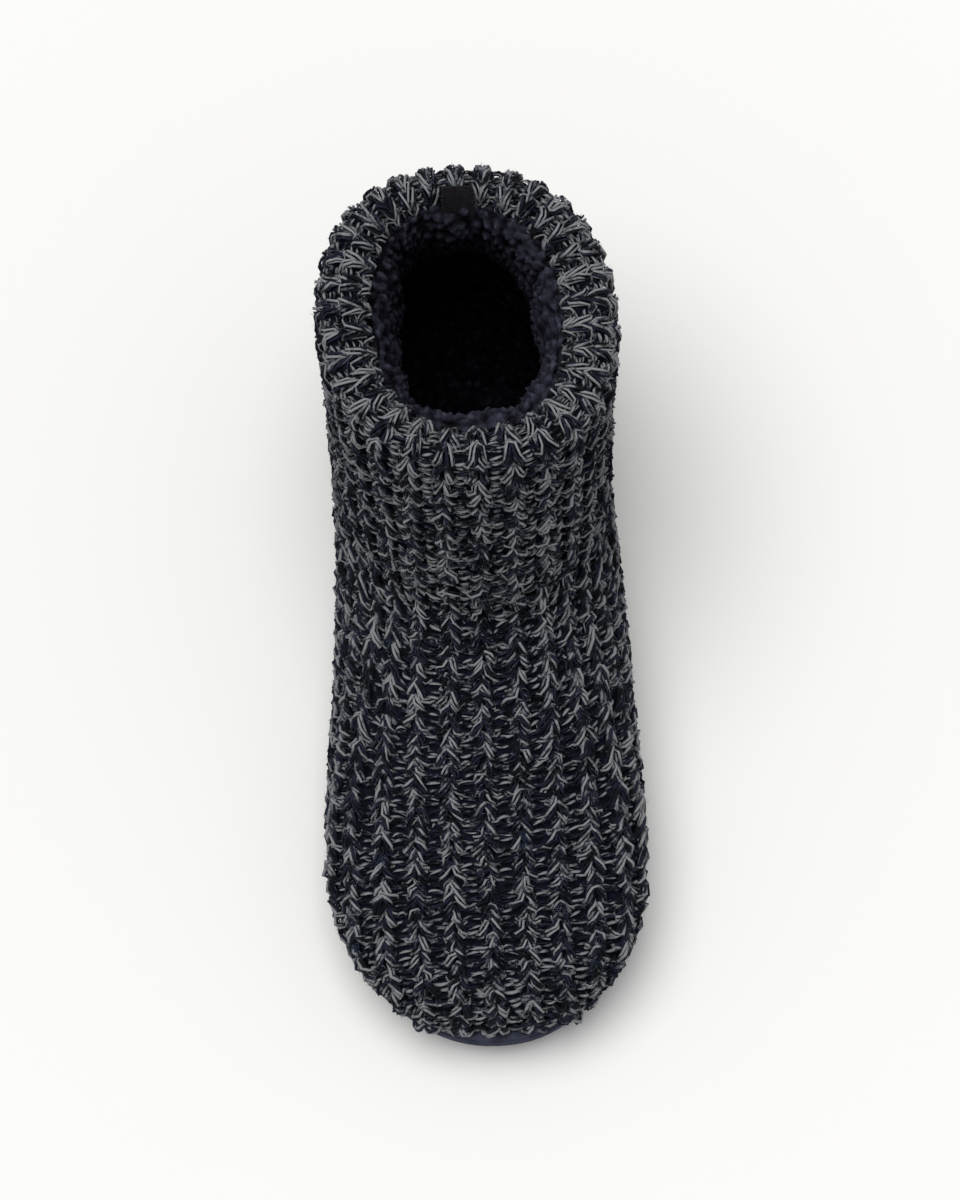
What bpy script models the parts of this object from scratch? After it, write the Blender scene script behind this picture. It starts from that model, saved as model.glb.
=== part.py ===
"""Knitted bootie slipper for a left foot: a hollow knitted upper with a rolled collar, a soft sole,
an insole and a pull loop.

The toe points along -Y and the lateral side lies at +X. "Along" is the distance from the back of the
sole to a point, measured towards the toe. Sizes are in metres.
"""

import bpy
import numpy as np

# Sole
SOLE_LENGTH = 0.278
SOLE_BALL_WIDTH = 0.099
SOLE_WAIST_WIDTH = 0.082
SOLE_HEEL_WIDTH = 0.076
SOLE_THICKNESS = 0.013
HEEL_ROUND = 0.040
TOE_ROUND = 0.056
TOE_SPRING = 0.006
ARCH_RISE = 0.0015
BOTTOM_EDGE_RADIUS = 0.004
TOP_EDGE_RADIUS = 0.0015
CENTRELINE_BOW = 0.0035
HEEL_CURVE = 2.1
TOE_CURVE = 2.15

# Upper
KNIT_BALL_WIDTH = 0.109
INSTEP_HEIGHT = 0.071
COLLAR_HEIGHT = 0.143
COLLAR_WIDTH = 0.099
KNIT_WALL = 0.0045
COLLAR_ROLL = 0.014
COLLAR_SIDE_ROLL = 0.0185
COLLAR_FRONT_ROLL = 0.0165
HEM_DEPTH = 0.016
HEM_TAPER = 0.014
FEATHER_INSET = 0.0020

# Insole and pull loop
INSOLE_THICKNESS = 0.006
INSOLE_EDGE_RADIUS = 0.0045
LOOP_WIDTH = 0.011
LOOP_TAPE = 0.0009
LOOP_GAP = 0.0016
LOOP_LEAN = np.radians(62.0)
LOOP_LENGTH = 0.010

# Clearances
SEAT_GAP = 0.0003
LOOP_SEAT = 0.0010
INSOLE_CLEARANCE = 0.0015
INSOLE_TOE_CLEARANCE = 0.0050

# Mesh density
COLUMNS_PER_SIDE = 22
ROLL_STEPS = 6
EDGE_STEPS = 4

# Half widths of the sole as shares of the named width, by share of the sole's length
SOLE_STATIONS = (
    # along, width it follows, share of that width's half
    (0.00, SOLE_HEEL_WIDTH, 0.98),
    (0.16, SOLE_HEEL_WIDTH, 1.00),
    (0.42, SOLE_WAIST_WIDTH, 1.00),
    (0.56, SOLE_WAIST_WIDTH, 1.10),
    (0.71, SOLE_BALL_WIDTH, 1.00),
    (0.86, SOLE_BALL_WIDTH, 0.98),
    (1.00, SOLE_BALL_WIDTH, 0.90),
)

# Sideways place of the middle line as shares of CENTRELINE_BOW, by share of the sole's length
CENTRELINE_STATIONS = (
    (0.00, 0.0),
    (0.22, 0.60),
    (0.45, 1.10),
    (0.72, 0.70),
    (0.88, 0.65),
    (1.00, 1.00),
)

# Places on the sole as shares of its length: middle and half length of the arch, starts of the toe's lift
ARCH_MIDDLE = 0.43
ARCH_REACH = 0.14
SPRING_START_BELOW = 0.76
SPRING_START_ABOVE = 0.70

# Closed rings of the shaft, from the collar down to the heel
SHAFT_SECTIONS = (
    # front along, front rise, back along, back height, half width, widest place, front and back roundness
    # (shares of sole length, shaft's rise, sole length, ring height, collar's half width and ring length)
    (0.430, 1.00, 0.040, 1.000, 1.000, 0.50, 2.25, 2.25),
    (0.456, 0.76, 0.027, 0.850, 0.980, 0.50, 2.20, 2.20),
    (0.482, 0.47, 0.014, 0.680, 0.970, 0.50, 2.20, 2.20),
    (0.506, 0.20, 0.003, 0.510, 0.965, 0.49, 2.20, 2.20),
    (0.524, 0.02, -0.004, 0.340, 0.965, 0.48, 2.15, 2.20),
    (0.544, -0.045, -0.006, 0.205, 0.970, 0.46, 2.15, 2.25),
)

# Rings of the foot, open underneath, from the heel to the toe
FOOT_SECTIONS = (
    # top along, top height, low along, half width, widest place, top and low roundness
    # (shares of sole length, instep's height over the sole, sole length, knit's half width, ring length)
    (0.566, 0.895, 0.0095, 0.865, 0.44, 2.15, 2.25),
    (0.574, 0.880, 0.0250, 0.868, 0.43, 2.15, 2.25),
    (0.585, 0.860, 0.0650, 0.872, 0.42, 2.15, 2.25),
    (0.603, 0.828, 0.1500, 0.880, 0.41, 2.15, 2.20),
    (0.630, 0.785, 0.2750, 0.894, 0.41, 2.15, 2.20),
    (0.668, 0.728, 0.4100, 0.922, 0.41, 2.15, 2.20),
    (0.716, 0.672, 0.5500, 0.955, 0.41, 2.15, 2.20),
    (0.772, 0.612, 0.6900, 0.996, 0.41, 2.20, 2.20),
    (0.830, 0.556, 0.7950, 0.992, 0.42, 2.20, 2.20),
    (0.882, 0.496, 0.8680, 0.925, 0.42, 2.20, 2.20),
    (0.922, 0.430, 0.9150, 0.815, 0.42, 2.20, 2.20),
    (0.953, 0.345, 0.9420, 0.680, 0.38, 2.20, 2.20),
    (0.976, 0.205, 0.9550, 0.560, 0.26, 2.20, 2.20),
    (0.990, 0.000, 0.9600, 0.490, 0.02, 2.20, 2.20),
)
SHAFT_RINGS = 10
FOOT_RINGS = 27


def smooth(at, stations, values):
    """Values along a smooth curve through the stations (Hermite pieces with Catmull-Rom slopes)."""
    stations = np.asarray(stations, float)
    values = np.asarray(values, float)
    at = np.clip(at, stations[0], stations[-1])
    slopes = np.gradient(values, stations, axis=0)
    left = np.clip(np.searchsorted(stations, at, side="right") - 1, 0, len(stations) - 2)
    span = stations[left + 1] - stations[left]
    share = (at - stations[left]) / span
    if values.ndim == 2:
        span, share = span[:, None], share[:, None]
    square, cube = share**2, share**3
    return (
        (2 * cube - 3 * square + 1) * values[left]
        + (cube - 2 * square + share) * span * slopes[left]
        + (3 * square - 2 * cube) * values[left + 1]
        + (cube - square) * span * slopes[left + 1]
    )


def round_end(share, roundness):
    """Half width of a rounded end, from 0 at its tip to 1 where it meets the body."""
    share = np.clip(share, 0.0, 1.0)
    return (1.0 - (1.0 - share) ** roundness) ** (1.0 / roundness)


def outline_half(along, inset=0.0, toe_inset=None):
    """Half width of the sole's outline at a distance from its back, with the edge taken in by inset."""
    toe_inset = inset if toe_inset is None else toe_inset
    stations = [row[0] * SOLE_LENGTH for row in SOLE_STATIONS]
    halves = [row[1] * row[2] / 2 for row in SOLE_STATIONS]
    body = smooth(along, stations, halves) - inset
    heel = round_end((along - inset) / (HEEL_ROUND - inset), HEEL_CURVE)
    toe = round_end((SOLE_LENGTH - toe_inset - along) / (TOE_ROUND - toe_inset), TOE_CURVE)
    return body * heel * toe


def middle(along):
    """Sideways place of the shoe's middle line."""
    stations = [row[0] * SOLE_LENGTH for row in CENTRELINE_STATIONS]
    shifts = [row[1] * CENTRELINE_BOW for row in CENTRELINE_STATIONS]
    return smooth(along, stations, shifts)


def bottom_height(along):
    """Height of the sole's underside: flat at heel and ball, raised a little at the arch and at the toe."""
    share = np.asarray(along, float) / SOLE_LENGTH
    arch = ARCH_RISE * np.clip(1.0 - ((share - ARCH_MIDDLE) / ARCH_REACH) ** 2, 0.0, None) ** 2
    lift = np.clip((share - SPRING_START_BELOW) / (1.0 - SPRING_START_BELOW), 0.0, None) ** 2
    return arch + TOE_SPRING * lift


def top_height(along):
    """Height of the sole's upper face."""
    share = np.asarray(along, float) / SOLE_LENGTH
    lift = np.clip((share - SPRING_START_ABOVE) / (1.0 - SPRING_START_ABOVE), 0.0, None) ** 2
    return SOLE_THICKNESS + TOE_SPRING * lift


def feather_height(along):
    """Height of the upper's lower edge, just clear of the sole."""
    return top_height(along) + SEAT_GAP


def section_rows():
    """The shaft's and the foot's rings in metres: top and low points, half width, widest place, roundness."""
    ring_height = COLLAR_HEIGHT - COLLAR_ROLL / 2
    rise = ring_height - INSTEP_HEIGHT
    rows = []
    for front, up, back, back_up, half, widest, front_round, back_round in SHAFT_SECTIONS:
        rows.append((
            front * SOLE_LENGTH, INSTEP_HEIGHT + up * rise, back * SOLE_LENGTH, back_up * ring_height,
            half * COLLAR_WIDTH / 2, widest, front_round, back_round,
        ))
    for top, up, low, half, widest, top_round, low_round in FOOT_SECTIONS:
        low_z = feather_height(low * SOLE_LENGTH)
        top_floor = feather_height(top * SOLE_LENGTH)
        rows.append((
            top * SOLE_LENGTH, top_floor + up * (INSTEP_HEIGHT - top_floor), low * SOLE_LENGTH, low_z,
            half * KNIT_BALL_WIDTH / 2, widest, top_round, low_round,
        ))
    return np.array(rows)


def half_arc(row, low_half, count):
    """Half a ring from its top point to its low point, evenly spaced: along, height, half width."""
    top_s, top_z, low_s, low_z, half, widest, top_round, low_round = row
    half = max(half, low_half)
    angle = np.linspace(0.0, np.pi / 2, 90)
    upper_share = widest + (1.0 - widest) * np.cos(angle) ** (2 / top_round)
    upper_half = half * np.sin(angle) ** (2 / top_round)
    cut = (1.0 - (low_half / half) ** low_round) ** (1 / low_round)
    down = np.sin(np.linspace(0.0, np.pi / 2, 90))[1:]
    lower_share = widest * (1.0 - down)
    lower_half = half * np.clip(1.0 - (cut * down) ** low_round, 0.0, None) ** (1 / low_round)
    share = np.concatenate([upper_share, lower_share])
    width = np.concatenate([upper_half, lower_half])
    points = np.stack([
        low_s + share * (top_s - low_s),
        low_z + share * (top_z - low_z),
        width,
    ], axis=1)
    run = np.concatenate([[0.0], np.cumsum(np.linalg.norm(np.diff(points, axis=0), axis=1))])
    even = np.linspace(0.0, run[-1], count)
    return np.stack([np.interp(even, run, points[:, axis]) for axis in range(3)], axis=1)


def ring_places():
    """Fractional rows of the section tables where the mesh has its rings."""
    shaft_last = len(SHAFT_SECTIONS)
    last = len(SHAFT_SECTIONS) + len(FOOT_SECTIONS) - 1
    shaft = np.linspace(0.0, shaft_last, SHAFT_RINGS + 1)
    return np.concatenate([shaft[:-1], np.linspace(shaft_last, last, FOOT_RINGS)])


def outer_rings():
    """The upper's outer face: rings from the collar to the toe, points from the medial to the lateral end."""
    table = section_rows()
    places = ring_places()
    rows = smooth(places, np.arange(len(table)), table)
    first_open = len(SHAFT_SECTIONS)
    rings = []
    for place, row in zip(places, rows):
        is_open = place > first_open + 1e-6
        if place >= first_open:
            row[3] = feather_height(row[2])
        low_half = float(outline_half(row[2], FEATHER_INSET)) if is_open else 0.0
        arc = half_arc(row, low_half, COLUMNS_PER_SIDE + 1)
        shift = middle(arc[:, 0])
        lateral = np.stack([shift + arc[:, 2], arc[:, 0], arc[:, 1]], axis=1)
        medial = np.stack([shift - arc[:, 2], arc[:, 0], arc[:, 1]], axis=1)
        rings.append(np.concatenate([medial[:0:-1], lateral]))
    return np.array(rings)


def outward_normals(rings):
    """Unit normals of the outer face, from the differences between neighbouring points."""
    down = np.gradient(rings, axis=0)
    across = np.gradient(rings, axis=1)
    closed = np.arange(len(rings)) <= SHAFT_RINGS
    seam = rings[closed, 1] - rings[closed, -2]
    across[closed, 0] = seam
    across[closed, -1] = seam
    normals = np.cross(down, across)
    normals /= np.linalg.norm(normals, axis=2, keepdims=True) + 1e-12
    centre = rings.mean(axis=1, keepdims=True)
    facing = np.sign((normals * (rings - centre)).sum(axis=(1, 2)))
    return normals * facing[:, None, None]


def collar_thickness(ring):
    """Thickness of the turned collar round its ring: thin at the back, thicker at the front and sides."""
    sideways = np.abs(ring[:, 0] - middle(ring[:, 1])) / (COLLAR_WIDTH / 2)
    share = np.clip(sideways, 0.0, 1.0) ** 2
    centre = (ring[:, 1].min() + ring[:, 1].max()) / 2
    ends = np.where(ring[:, 1] > centre, COLLAR_FRONT_ROLL, COLLAR_ROLL)
    return ends + (COLLAR_SIDE_ROLL - ends) * share


def wall_at(height, roll):
    """Wall thickness: the knit's own, growing to the full roll at the collar's turned-in hem."""
    below = (COLLAR_HEIGHT - COLLAR_ROLL / 2) - height
    share = np.clip(1.0 - (below - HEM_DEPTH + HEM_TAPER) / HEM_TAPER, 0.0, 1.0)
    ease = share * share * (3 - 2 * share)
    return KNIT_WALL + (roll - KNIT_WALL) * ease


def flat_normals(normals):
    """The normals turned level, for edges that stay in their own plane."""
    level = normals.copy()
    level[..., 2] = 0.0
    return level / (np.linalg.norm(level, axis=-1, keepdims=True) + 1e-12)


def upper_mesh():
    """Points and faces of the upper's wall: outer face, inner face, collar roll and lower edge."""
    outer = outer_rings()
    normals = outward_normals(outer)
    level = flat_normals(normals)
    roll = collar_thickness(outer[0])
    shaft_wall = wall_at(outer[..., 2], roll[None])[..., None]
    walls = np.where(np.arange(len(outer))[:, None, None] <= SHAFT_RINGS, shaft_wall, KNIT_WALL)
    inner = outer - normals * walls
    inner[0] = outer[0] - level[0] * roll[:, None]
    open_rows = np.arange(len(outer)) >= SHAFT_RINGS
    for end in (0, -1):
        inner[open_rows, end] = outer[open_rows, end] - level[open_rows, end] * KNIT_WALL
    inner[-1] = outer[-1] - level[-1] * KNIT_WALL
    closed = np.arange(len(outer)) <= SHAFT_RINGS
    seam_middle = (inner[closed, 0] + inner[closed, -1]) / 2
    inner[closed, 0] = seam_middle
    inner[closed, -1] = seam_middle
    inner[..., 2] = np.maximum(inner[..., 2], feather_height(inner[..., 1]))

    rows = [outer[index] for index in range(len(outer) - 1, -1, -1)]
    upward = np.array([0.0, 0.0, COLLAR_ROLL / 2])
    for step in range(1, ROLL_STEPS):
        turn = np.pi * step / ROLL_STEPS
        inward = roll[:, None] * (1 - np.cos(turn)) / 2
        rows.append(outer[0] - level[0] * inward + upward * np.sin(turn))
    rows += [inner[index] for index in range(len(inner))]
    grid = np.array(rows)
    row_count, column_count = grid.shape[:2]

    def at(row, column):
        return row * column_count + column

    faces = [
        (at(row, col), at(row, col + 1), at(row + 1, col + 1), at(row + 1, col))
        for row in range(row_count - 1)
        for col in range(column_count - 1)
    ]
    faces += [
        (at(0, col + 1), at(0, col), at(row_count - 1, col), at(row_count - 1, col + 1))
        for col in range(column_count - 1)
    ]
    foot_rows = len(outer) - 1 - SHAFT_RINGS
    for row in range(foot_rows):
        mate, next_mate = row_count - 1 - row, row_count - 2 - row
        faces.append((at(row, 0), at(row + 1, 0), at(next_mate, 0), at(mate, 0)))
        last = column_count - 1
        faces.append((at(row + 1, last), at(row, last), at(mate, last), at(next_mate, last)))
    return grid.reshape(-1, 3), faces


def outline_stations(inset, toe_inset, count):
    """Distances along the sole, close together at the rounded ends."""
    start, end = inset, SOLE_LENGTH - toe_inset
    turn = np.linspace(0.0, np.pi, count)
    even = np.linspace(0.0, 1.0, count)
    share = 0.9 * (1 - np.cos(turn)) / 2 + 0.1 * even
    return start + (end - start) * share


def slab_mesh(levels, toe_gap=0.0, count=40):
    """A slab with the sole's outline, from level rings (inset, height function), bottom first."""
    points, rings = [], []
    for inset, height in levels:
        along = outline_stations(inset, inset + toe_gap, count)
        half = outline_half(along, inset, inset + toe_gap)
        shift = middle(along)
        z = height(along)
        lateral = np.stack([shift + half, along, z], axis=1)
        medial = np.stack([shift - half, along, z], axis=1)[1:-1][::-1]
        rings.append(np.concatenate([lateral, medial]))
    ring_size = len(rings[0])
    points = np.concatenate(rings)
    faces = []
    for level in range(len(rings) - 1):
        base, above = level * ring_size, (level + 1) * ring_size
        for index in range(ring_size):
            following = (index + 1) % ring_size
            faces.append((base + index, base + following, above + following, above + index))
    for base, turned in ((0, True), ((len(rings) - 1) * ring_size, False)):
        for index in range(count - 1):
            right, right_next = base + index, base + index + 1
            left = base + (ring_size - index) % ring_size
            left_next = base + ring_size - index - 1
            if index == 0:
                face = (right, right_next, left_next)
            elif index == count - 2:
                face = (right, right_next, left)
            else:
                face = (right, right_next, left_next, left)
            faces.append(face if not turned else face[::-1])
    return points, faces


def sole_levels():
    """Rings of the sole: rounded bottom edge, upright side, small rounded top edge."""
    levels = []
    radius = BOTTOM_EDGE_RADIUS
    for step in range(EDGE_STEPS + 1):
        turn = np.pi / 2 * step / EDGE_STEPS
        inset, lift = radius * (1 - np.sin(turn)), radius * (1 - np.cos(turn))
        levels.append((inset, lambda along, lift=lift: bottom_height(along) + lift))
    radius = TOP_EDGE_RADIUS
    for step in range(3):
        turn = np.pi / 2 * step / 2
        inset, drop = radius * (1 - np.cos(turn)), radius * (1 - np.sin(turn))
        levels.append((inset, lambda along, drop=drop: top_height(along) - drop))
    return levels


def insole_levels():
    """Rings of the insole, which lies on the sole inside the upper's wall."""
    edge = FEATHER_INSET + KNIT_WALL + INSOLE_CLEARANCE
    radius = INSOLE_EDGE_RADIUS
    levels = [(edge, feather_height)]
    for step in range(EDGE_STEPS):
        turn = np.pi / 2 * step / (EDGE_STEPS - 1)
        inset, drop = edge + radius * (1 - np.cos(turn)), radius * (1 - np.sin(turn))
        lift = INSOLE_THICKNESS - drop
        levels.append((inset, lambda along, lift=lift: feather_height(along) + lift))
    return levels


def loop_profile():
    """Side view of the folded tape: up the collar's inside, over its roll, round the fold and back down."""
    centre = SHAFT_SECTIONS[0][2] * SOLE_LENGTH + COLLAR_ROLL / 2
    ring = COLLAR_HEIGHT - COLLAR_ROLL / 2
    near = COLLAR_ROLL / 2 + LOOP_SEAT + LOOP_TAPE / 2
    far = near + LOOP_GAP + LOOP_TAPE
    lean = np.linspace(0.0, LOOP_LEAN, 7)
    fold = np.linspace(0.0, np.pi, 7)[1:-1]
    bend = (far - near) / 2
    reach = (near + far) / 2 - bend * np.cos(fold)
    onward = bend * np.sin(fold)
    points = [[centre + near, ring - LOOP_LENGTH]]
    points += [[centre + near * np.cos(turn), ring + near * np.sin(turn)] for turn in lean]
    points += [
        [
            centre + out * np.cos(LOOP_LEAN) - past * np.sin(LOOP_LEAN),
            ring + out * np.sin(LOOP_LEAN) + past * np.cos(LOOP_LEAN),
        ]
        for out, past in zip(reach, onward)
    ]
    points += [[centre + far * np.cos(turn), ring + far * np.sin(turn)] for turn in lean[::-1]]
    points += [[centre + far, ring - LOOP_LENGTH]]
    return np.array(points)


def material(name, colour, roughness):
    """A Principled material of one colour."""
    made = bpy.data.materials.new(name)
    made.use_nodes = True
    shader = made.node_tree.nodes["Principled BSDF"]
    shader.inputs["Base Color"].default_value = (*colour, 1.0)
    shader.inputs["Roughness"].default_value = roughness
    shader.inputs["Metallic"].default_value = 0.0
    return made


def add_object(name, points, faces, finish, collection, origin):
    """A mesh object in the collection, with along turned into -Y and its doubled points merged."""
    placed = np.stack([points[:, 0], -points[:, 1], points[:, 2]], axis=1) - origin
    mesh = bpy.data.meshes.new(name)
    mesh.from_pydata(placed.tolist(), [], faces)
    mesh.materials.append(finish)
    made = bpy.data.objects.new(name, mesh)
    collection.objects.link(made)
    bpy.context.view_layer.objects.active = made
    made.select_set(True)
    bpy.ops.object.mode_set(mode="EDIT")
    bpy.ops.mesh.select_all(action="SELECT")
    bpy.ops.mesh.remove_doubles(threshold=0.000002)
    bpy.ops.mesh.normals_make_consistent(inside=False)
    bpy.ops.object.mode_set(mode="OBJECT")
    made.select_set(False)
    mesh.shade_smooth()
    mesh.set_sharp_from_angle(angle=np.radians(50))
    return made


def add_loop(finish, collection, origin):
    """The pull loop: an open strip along the folded profile, given the tape's thickness."""
    profile = loop_profile()
    shift = float(middle(profile[0, 0]))
    points = [
        (shift + side * LOOP_WIDTH / 2, along, height)
        for along, height in profile
        for side in (-1, 1)
    ]
    faces = [(2 * n, 2 * n + 1, 2 * n + 3, 2 * n + 2) for n in range(len(profile) - 1)]
    made = add_object("pull_loop", np.array(points), faces, finish, collection, origin)
    tape = made.modifiers.new("tape", "SOLIDIFY")
    tape.thickness = LOOP_TAPE
    tape.offset = 0.0
    return made


def main():
    for old in list(bpy.data.objects):
        bpy.data.objects.remove(old)
    slipper = bpy.data.collections.new("bootie_slipper")
    bpy.context.scene.collection.children.link(slipper)

    knit = material("marled_knit", (0.060, 0.066, 0.078), 0.95)
    suede = material("dark_suede", (0.040, 0.046, 0.062), 0.90)
    pile = material("navy_pile", (0.014, 0.018, 0.032), 0.98)
    tape = material("black_tape", (0.010, 0.010, 0.013), 0.70)

    upper_points, upper_faces = upper_mesh()
    sole_points, sole_faces = slab_mesh(sole_levels())
    insole_points, insole_faces = slab_mesh(insole_levels(), INSOLE_TOE_CLEARANCE - INSOLE_CLEARANCE)

    everything = np.concatenate([upper_points, sole_points])
    low, high = everything.min(axis=0), everything.max(axis=0)
    centre = (low + high) / 2
    origin = np.array([centre[0], -centre[1], low[2]])

    add_object("upper", upper_points, upper_faces, knit, slipper, origin)
    add_object("sole", sole_points, sole_faces, suede, slipper, origin)
    add_object("insole", insole_points, insole_faces, pile, slipper, origin)
    add_loop(tape, slipper, origin)


main()
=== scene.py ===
"""Looks of a knitted bootie slipper: marled yarn stitches over a backing, pile lining, suede sole.

"Along" is the distance from the back of the sole towards the toe. On the upper, "wales" count the ribs
sideways from the front centre line, and "courses" count the rows of stitches down from the collar.
"""

from collections import namedtuple
from functools import lru_cache

import bmesh
import bpy
import numpy as np
from bpy.props import FloatProperty, FloatVectorProperty, IntProperty, PointerProperty
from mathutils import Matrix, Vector


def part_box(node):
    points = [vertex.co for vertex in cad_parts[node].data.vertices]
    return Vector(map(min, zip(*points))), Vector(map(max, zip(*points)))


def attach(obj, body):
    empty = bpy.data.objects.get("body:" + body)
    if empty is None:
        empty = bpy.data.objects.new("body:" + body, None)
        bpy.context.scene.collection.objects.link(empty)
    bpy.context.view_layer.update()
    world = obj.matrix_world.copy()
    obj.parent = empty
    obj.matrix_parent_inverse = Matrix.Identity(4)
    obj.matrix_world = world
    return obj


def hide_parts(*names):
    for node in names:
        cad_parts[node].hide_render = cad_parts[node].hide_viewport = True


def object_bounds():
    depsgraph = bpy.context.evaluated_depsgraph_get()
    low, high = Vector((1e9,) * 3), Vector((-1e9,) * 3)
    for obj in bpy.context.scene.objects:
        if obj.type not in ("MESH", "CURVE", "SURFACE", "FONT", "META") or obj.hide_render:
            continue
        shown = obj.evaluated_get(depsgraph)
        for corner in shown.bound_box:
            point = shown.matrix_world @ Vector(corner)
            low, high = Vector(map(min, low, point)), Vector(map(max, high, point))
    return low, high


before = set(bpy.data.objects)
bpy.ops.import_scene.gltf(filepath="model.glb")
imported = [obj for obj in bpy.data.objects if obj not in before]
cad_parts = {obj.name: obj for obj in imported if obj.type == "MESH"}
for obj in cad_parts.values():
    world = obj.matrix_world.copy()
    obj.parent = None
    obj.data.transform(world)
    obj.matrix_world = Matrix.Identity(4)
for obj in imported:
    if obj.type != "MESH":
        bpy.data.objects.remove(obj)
CAD_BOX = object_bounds()

bl_info = {
    "name": "Knitted bootie slipper",
    "version": (1, 0, 0),
    "blender": (4, 5, 0),
    "location": "View3D > Sidebar > Slipper",
    "description": "Dresses a bootie slipper with yarn stitches, pile lining and a suede sole",
    "category": "Object",
}


def length(name, description, default):
    """A property that holds a length in metres."""
    return FloatProperty(name=name, description=description, default=default, unit="LENGTH", precision=5)


def share(name, description, default):
    """A property that holds a plain number."""
    return FloatProperty(name=name, description=description, default=default, precision=3)


def colour(name, description, default):
    """A property that holds a linear colour."""
    return FloatVectorProperty(
        name=name, description=description, default=default, subtype="COLOR", size=3, min=0.0, max=1.0
    )


class LastSizes(bpy.types.PropertyGroup):
    """Sizes of the shoe's form."""

    sole_length: length("Sole length", "Length of the sole", 0.278)
    sole_ball: length("Sole ball width", "Width of the sole at the ball", 0.099)
    sole_waist: length("Sole waist width", "Width of the sole at the arch", 0.082)
    sole_heel: length("Sole heel width", "Width of the sole at the heel", 0.076)
    sole_thickness: length("Sole thickness", "Height of the sole's side", 0.013)
    heel_round: length("Heel round", "Length of the sole's rounded back end", 0.040)
    toe_round: length("Toe round", "Length of the sole's rounded front end", 0.056)
    toe_spring: length("Toe spring", "Lift of the toe", 0.006)
    arch_rise: length("Arch rise", "Lift of the sole under the arch", 0.0015)
    bow: length("Centre line bow", "Sideways curve of the shoe's middle line", 0.0035)
    knit_ball: length("Knit ball width", "Width of the upper at the ball", 0.109)
    instep: length("Instep height", "Height of the throat's crease", 0.071)
    collar_height: length("Collar height", "Height of the collar's top", 0.143)
    collar_width: length("Collar width", "Width of the collar", 0.099)
    knit_wall: length("Knit wall", "Thickness of the knit", 0.0045)
    collar_roll: length("Collar roll", "Thickness of the turned collar at the back, twice its rise", 0.014)
    collar_side: length("Collar side roll", "Thickness of the turned collar at the sides", 0.0185)
    collar_front: length("Collar front roll", "Thickness of the turned collar at the front", 0.0165)
    feather_inset: length("Feather inset", "Step from the sole's edge in to the upper's lower edge", 0.0020)
    seat_gap: length("Seat gap", "Gap between touching pieces", 0.0003)


class KnitSizes(bpy.types.PropertyGroup):
    """Sizes and colours of the yarn and its stitches."""

    course: length("Course height", "Distance from one row of stitches to the next", 0.0052)
    wale: length("Wale width", "Distance from one rib to the next at the front", 0.0120)
    ribs_half: IntProperty(name="Ribs each side", description="Ribs from the front to the back centre line",
                           default=16, min=8, max=24)
    ply_radius: length("Ply radius", "Radius of one ply of the yarn", 0.00050)
    yarn_width: length("Yarn half width", "Distance of the outer plies from the yarn's middle", 0.00112)
    yarn_depth: length("Yarn half depth", "Depth of the plies from the yarn's middle", 0.00080)
    twist: share("Twist", "Turns of the yarn in one stitch", 0.95)
    light: colour("Light ply", "Colour of the light plies", (0.243, 0.249, 0.262))
    dark: colour("Dark ply", "Colour of the dark plies", (0.0080, 0.0085, 0.0115))
    navy: colour("Navy ply", "Colour of the navy plies", (0.0160, 0.0205, 0.0370))


class SoftSizes(bpy.types.PropertyGroup):
    """Sizes and colours of the lining, the insole, the sole's cover and the loop."""

    pile: length("Pile height", "Thickness of the lining's pile", 0.0065)
    tuft: length("Tuft size", "Width of one tuft of the pile", 0.0036)
    pile_colour: colour("Pile colour", "Colour of the lining", (0.0385, 0.0385, 0.0580))
    suede_colour: colour("Suede colour", "Colour of the sole's cover", (0.0425, 0.0460, 0.0720))
    tape_colour: colour("Tape colour", "Colour of the pull loop", (0.0075, 0.0066, 0.0085))
    loop_width: length("Loop width", "Width of the pull loop's tape", 0.011)
    loop_tape: length("Tape thickness", "Thickness of the pull loop's tape", 0.0009)
    loop_gap: length("Loop gap", "Distance between the loop's two layers", 0.0025)
    loop_seat: length("Loop seat", "Clearance of the loop over the collar", 0.0010)
    loop_foot: length("Loop foot", "Depth of the loop's ends below the collar's ring", 0.010)
    loop_tilt: length("Loop tilt", "Height difference of the loop's two sides", 0.0030)
    loop_lean: share("Loop lean", "Angle of the loop over the collar's roll in degrees", 58.0)


class StageSizes(bpy.types.PropertyGroup):
    """Camera, light and floor."""

    azimuth: share("Camera azimuth", "Turn of the camera about the shoe in degrees", -2.5)
    elevation: share("Camera elevation", "Height angle of the camera in degrees", 72.0)
    distance: length("Camera distance", "Distance of the camera from the shoe", 1.60)
    lens: share("Lens", "Focal length in millimetres on a 36 mm sensor", 142.5)
    floor: colour("Floor colour", "Colour of the floor", (0.955, 0.950, 0.940))
    sky: share("Sky strength", "Brightness of the even light from all round", 0.42)
    key: share("Key strength", "Brightness of the light from the upper left", 1.95)
    backdrop: share("Backdrop strength", "Brightness behind the floor's edge", 1.0)


# Form of the shoe

# Half widths of the sole, by share of its length
SOLE_STATIONS = (
    # along, width it follows, share of that width's half
    (0.00, "sole_heel", 0.98),
    (0.16, "sole_heel", 1.00),
    (0.42, "sole_waist", 1.00),
    (0.56, "sole_waist", 1.10),
    (0.71, "sole_ball", 1.00),
    (0.86, "sole_ball", 0.98),
    (1.00, "sole_ball", 0.90),
)

# Sideways place of the middle line as shares of its bow, by share of the sole's length
CENTRELINE_STATIONS = (
    (0.00, 0.0),
    (0.22, 0.60),
    (0.45, 1.10),
    (0.72, 0.70),
    (0.88, 0.65),
    (1.00, 1.00),
)

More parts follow.
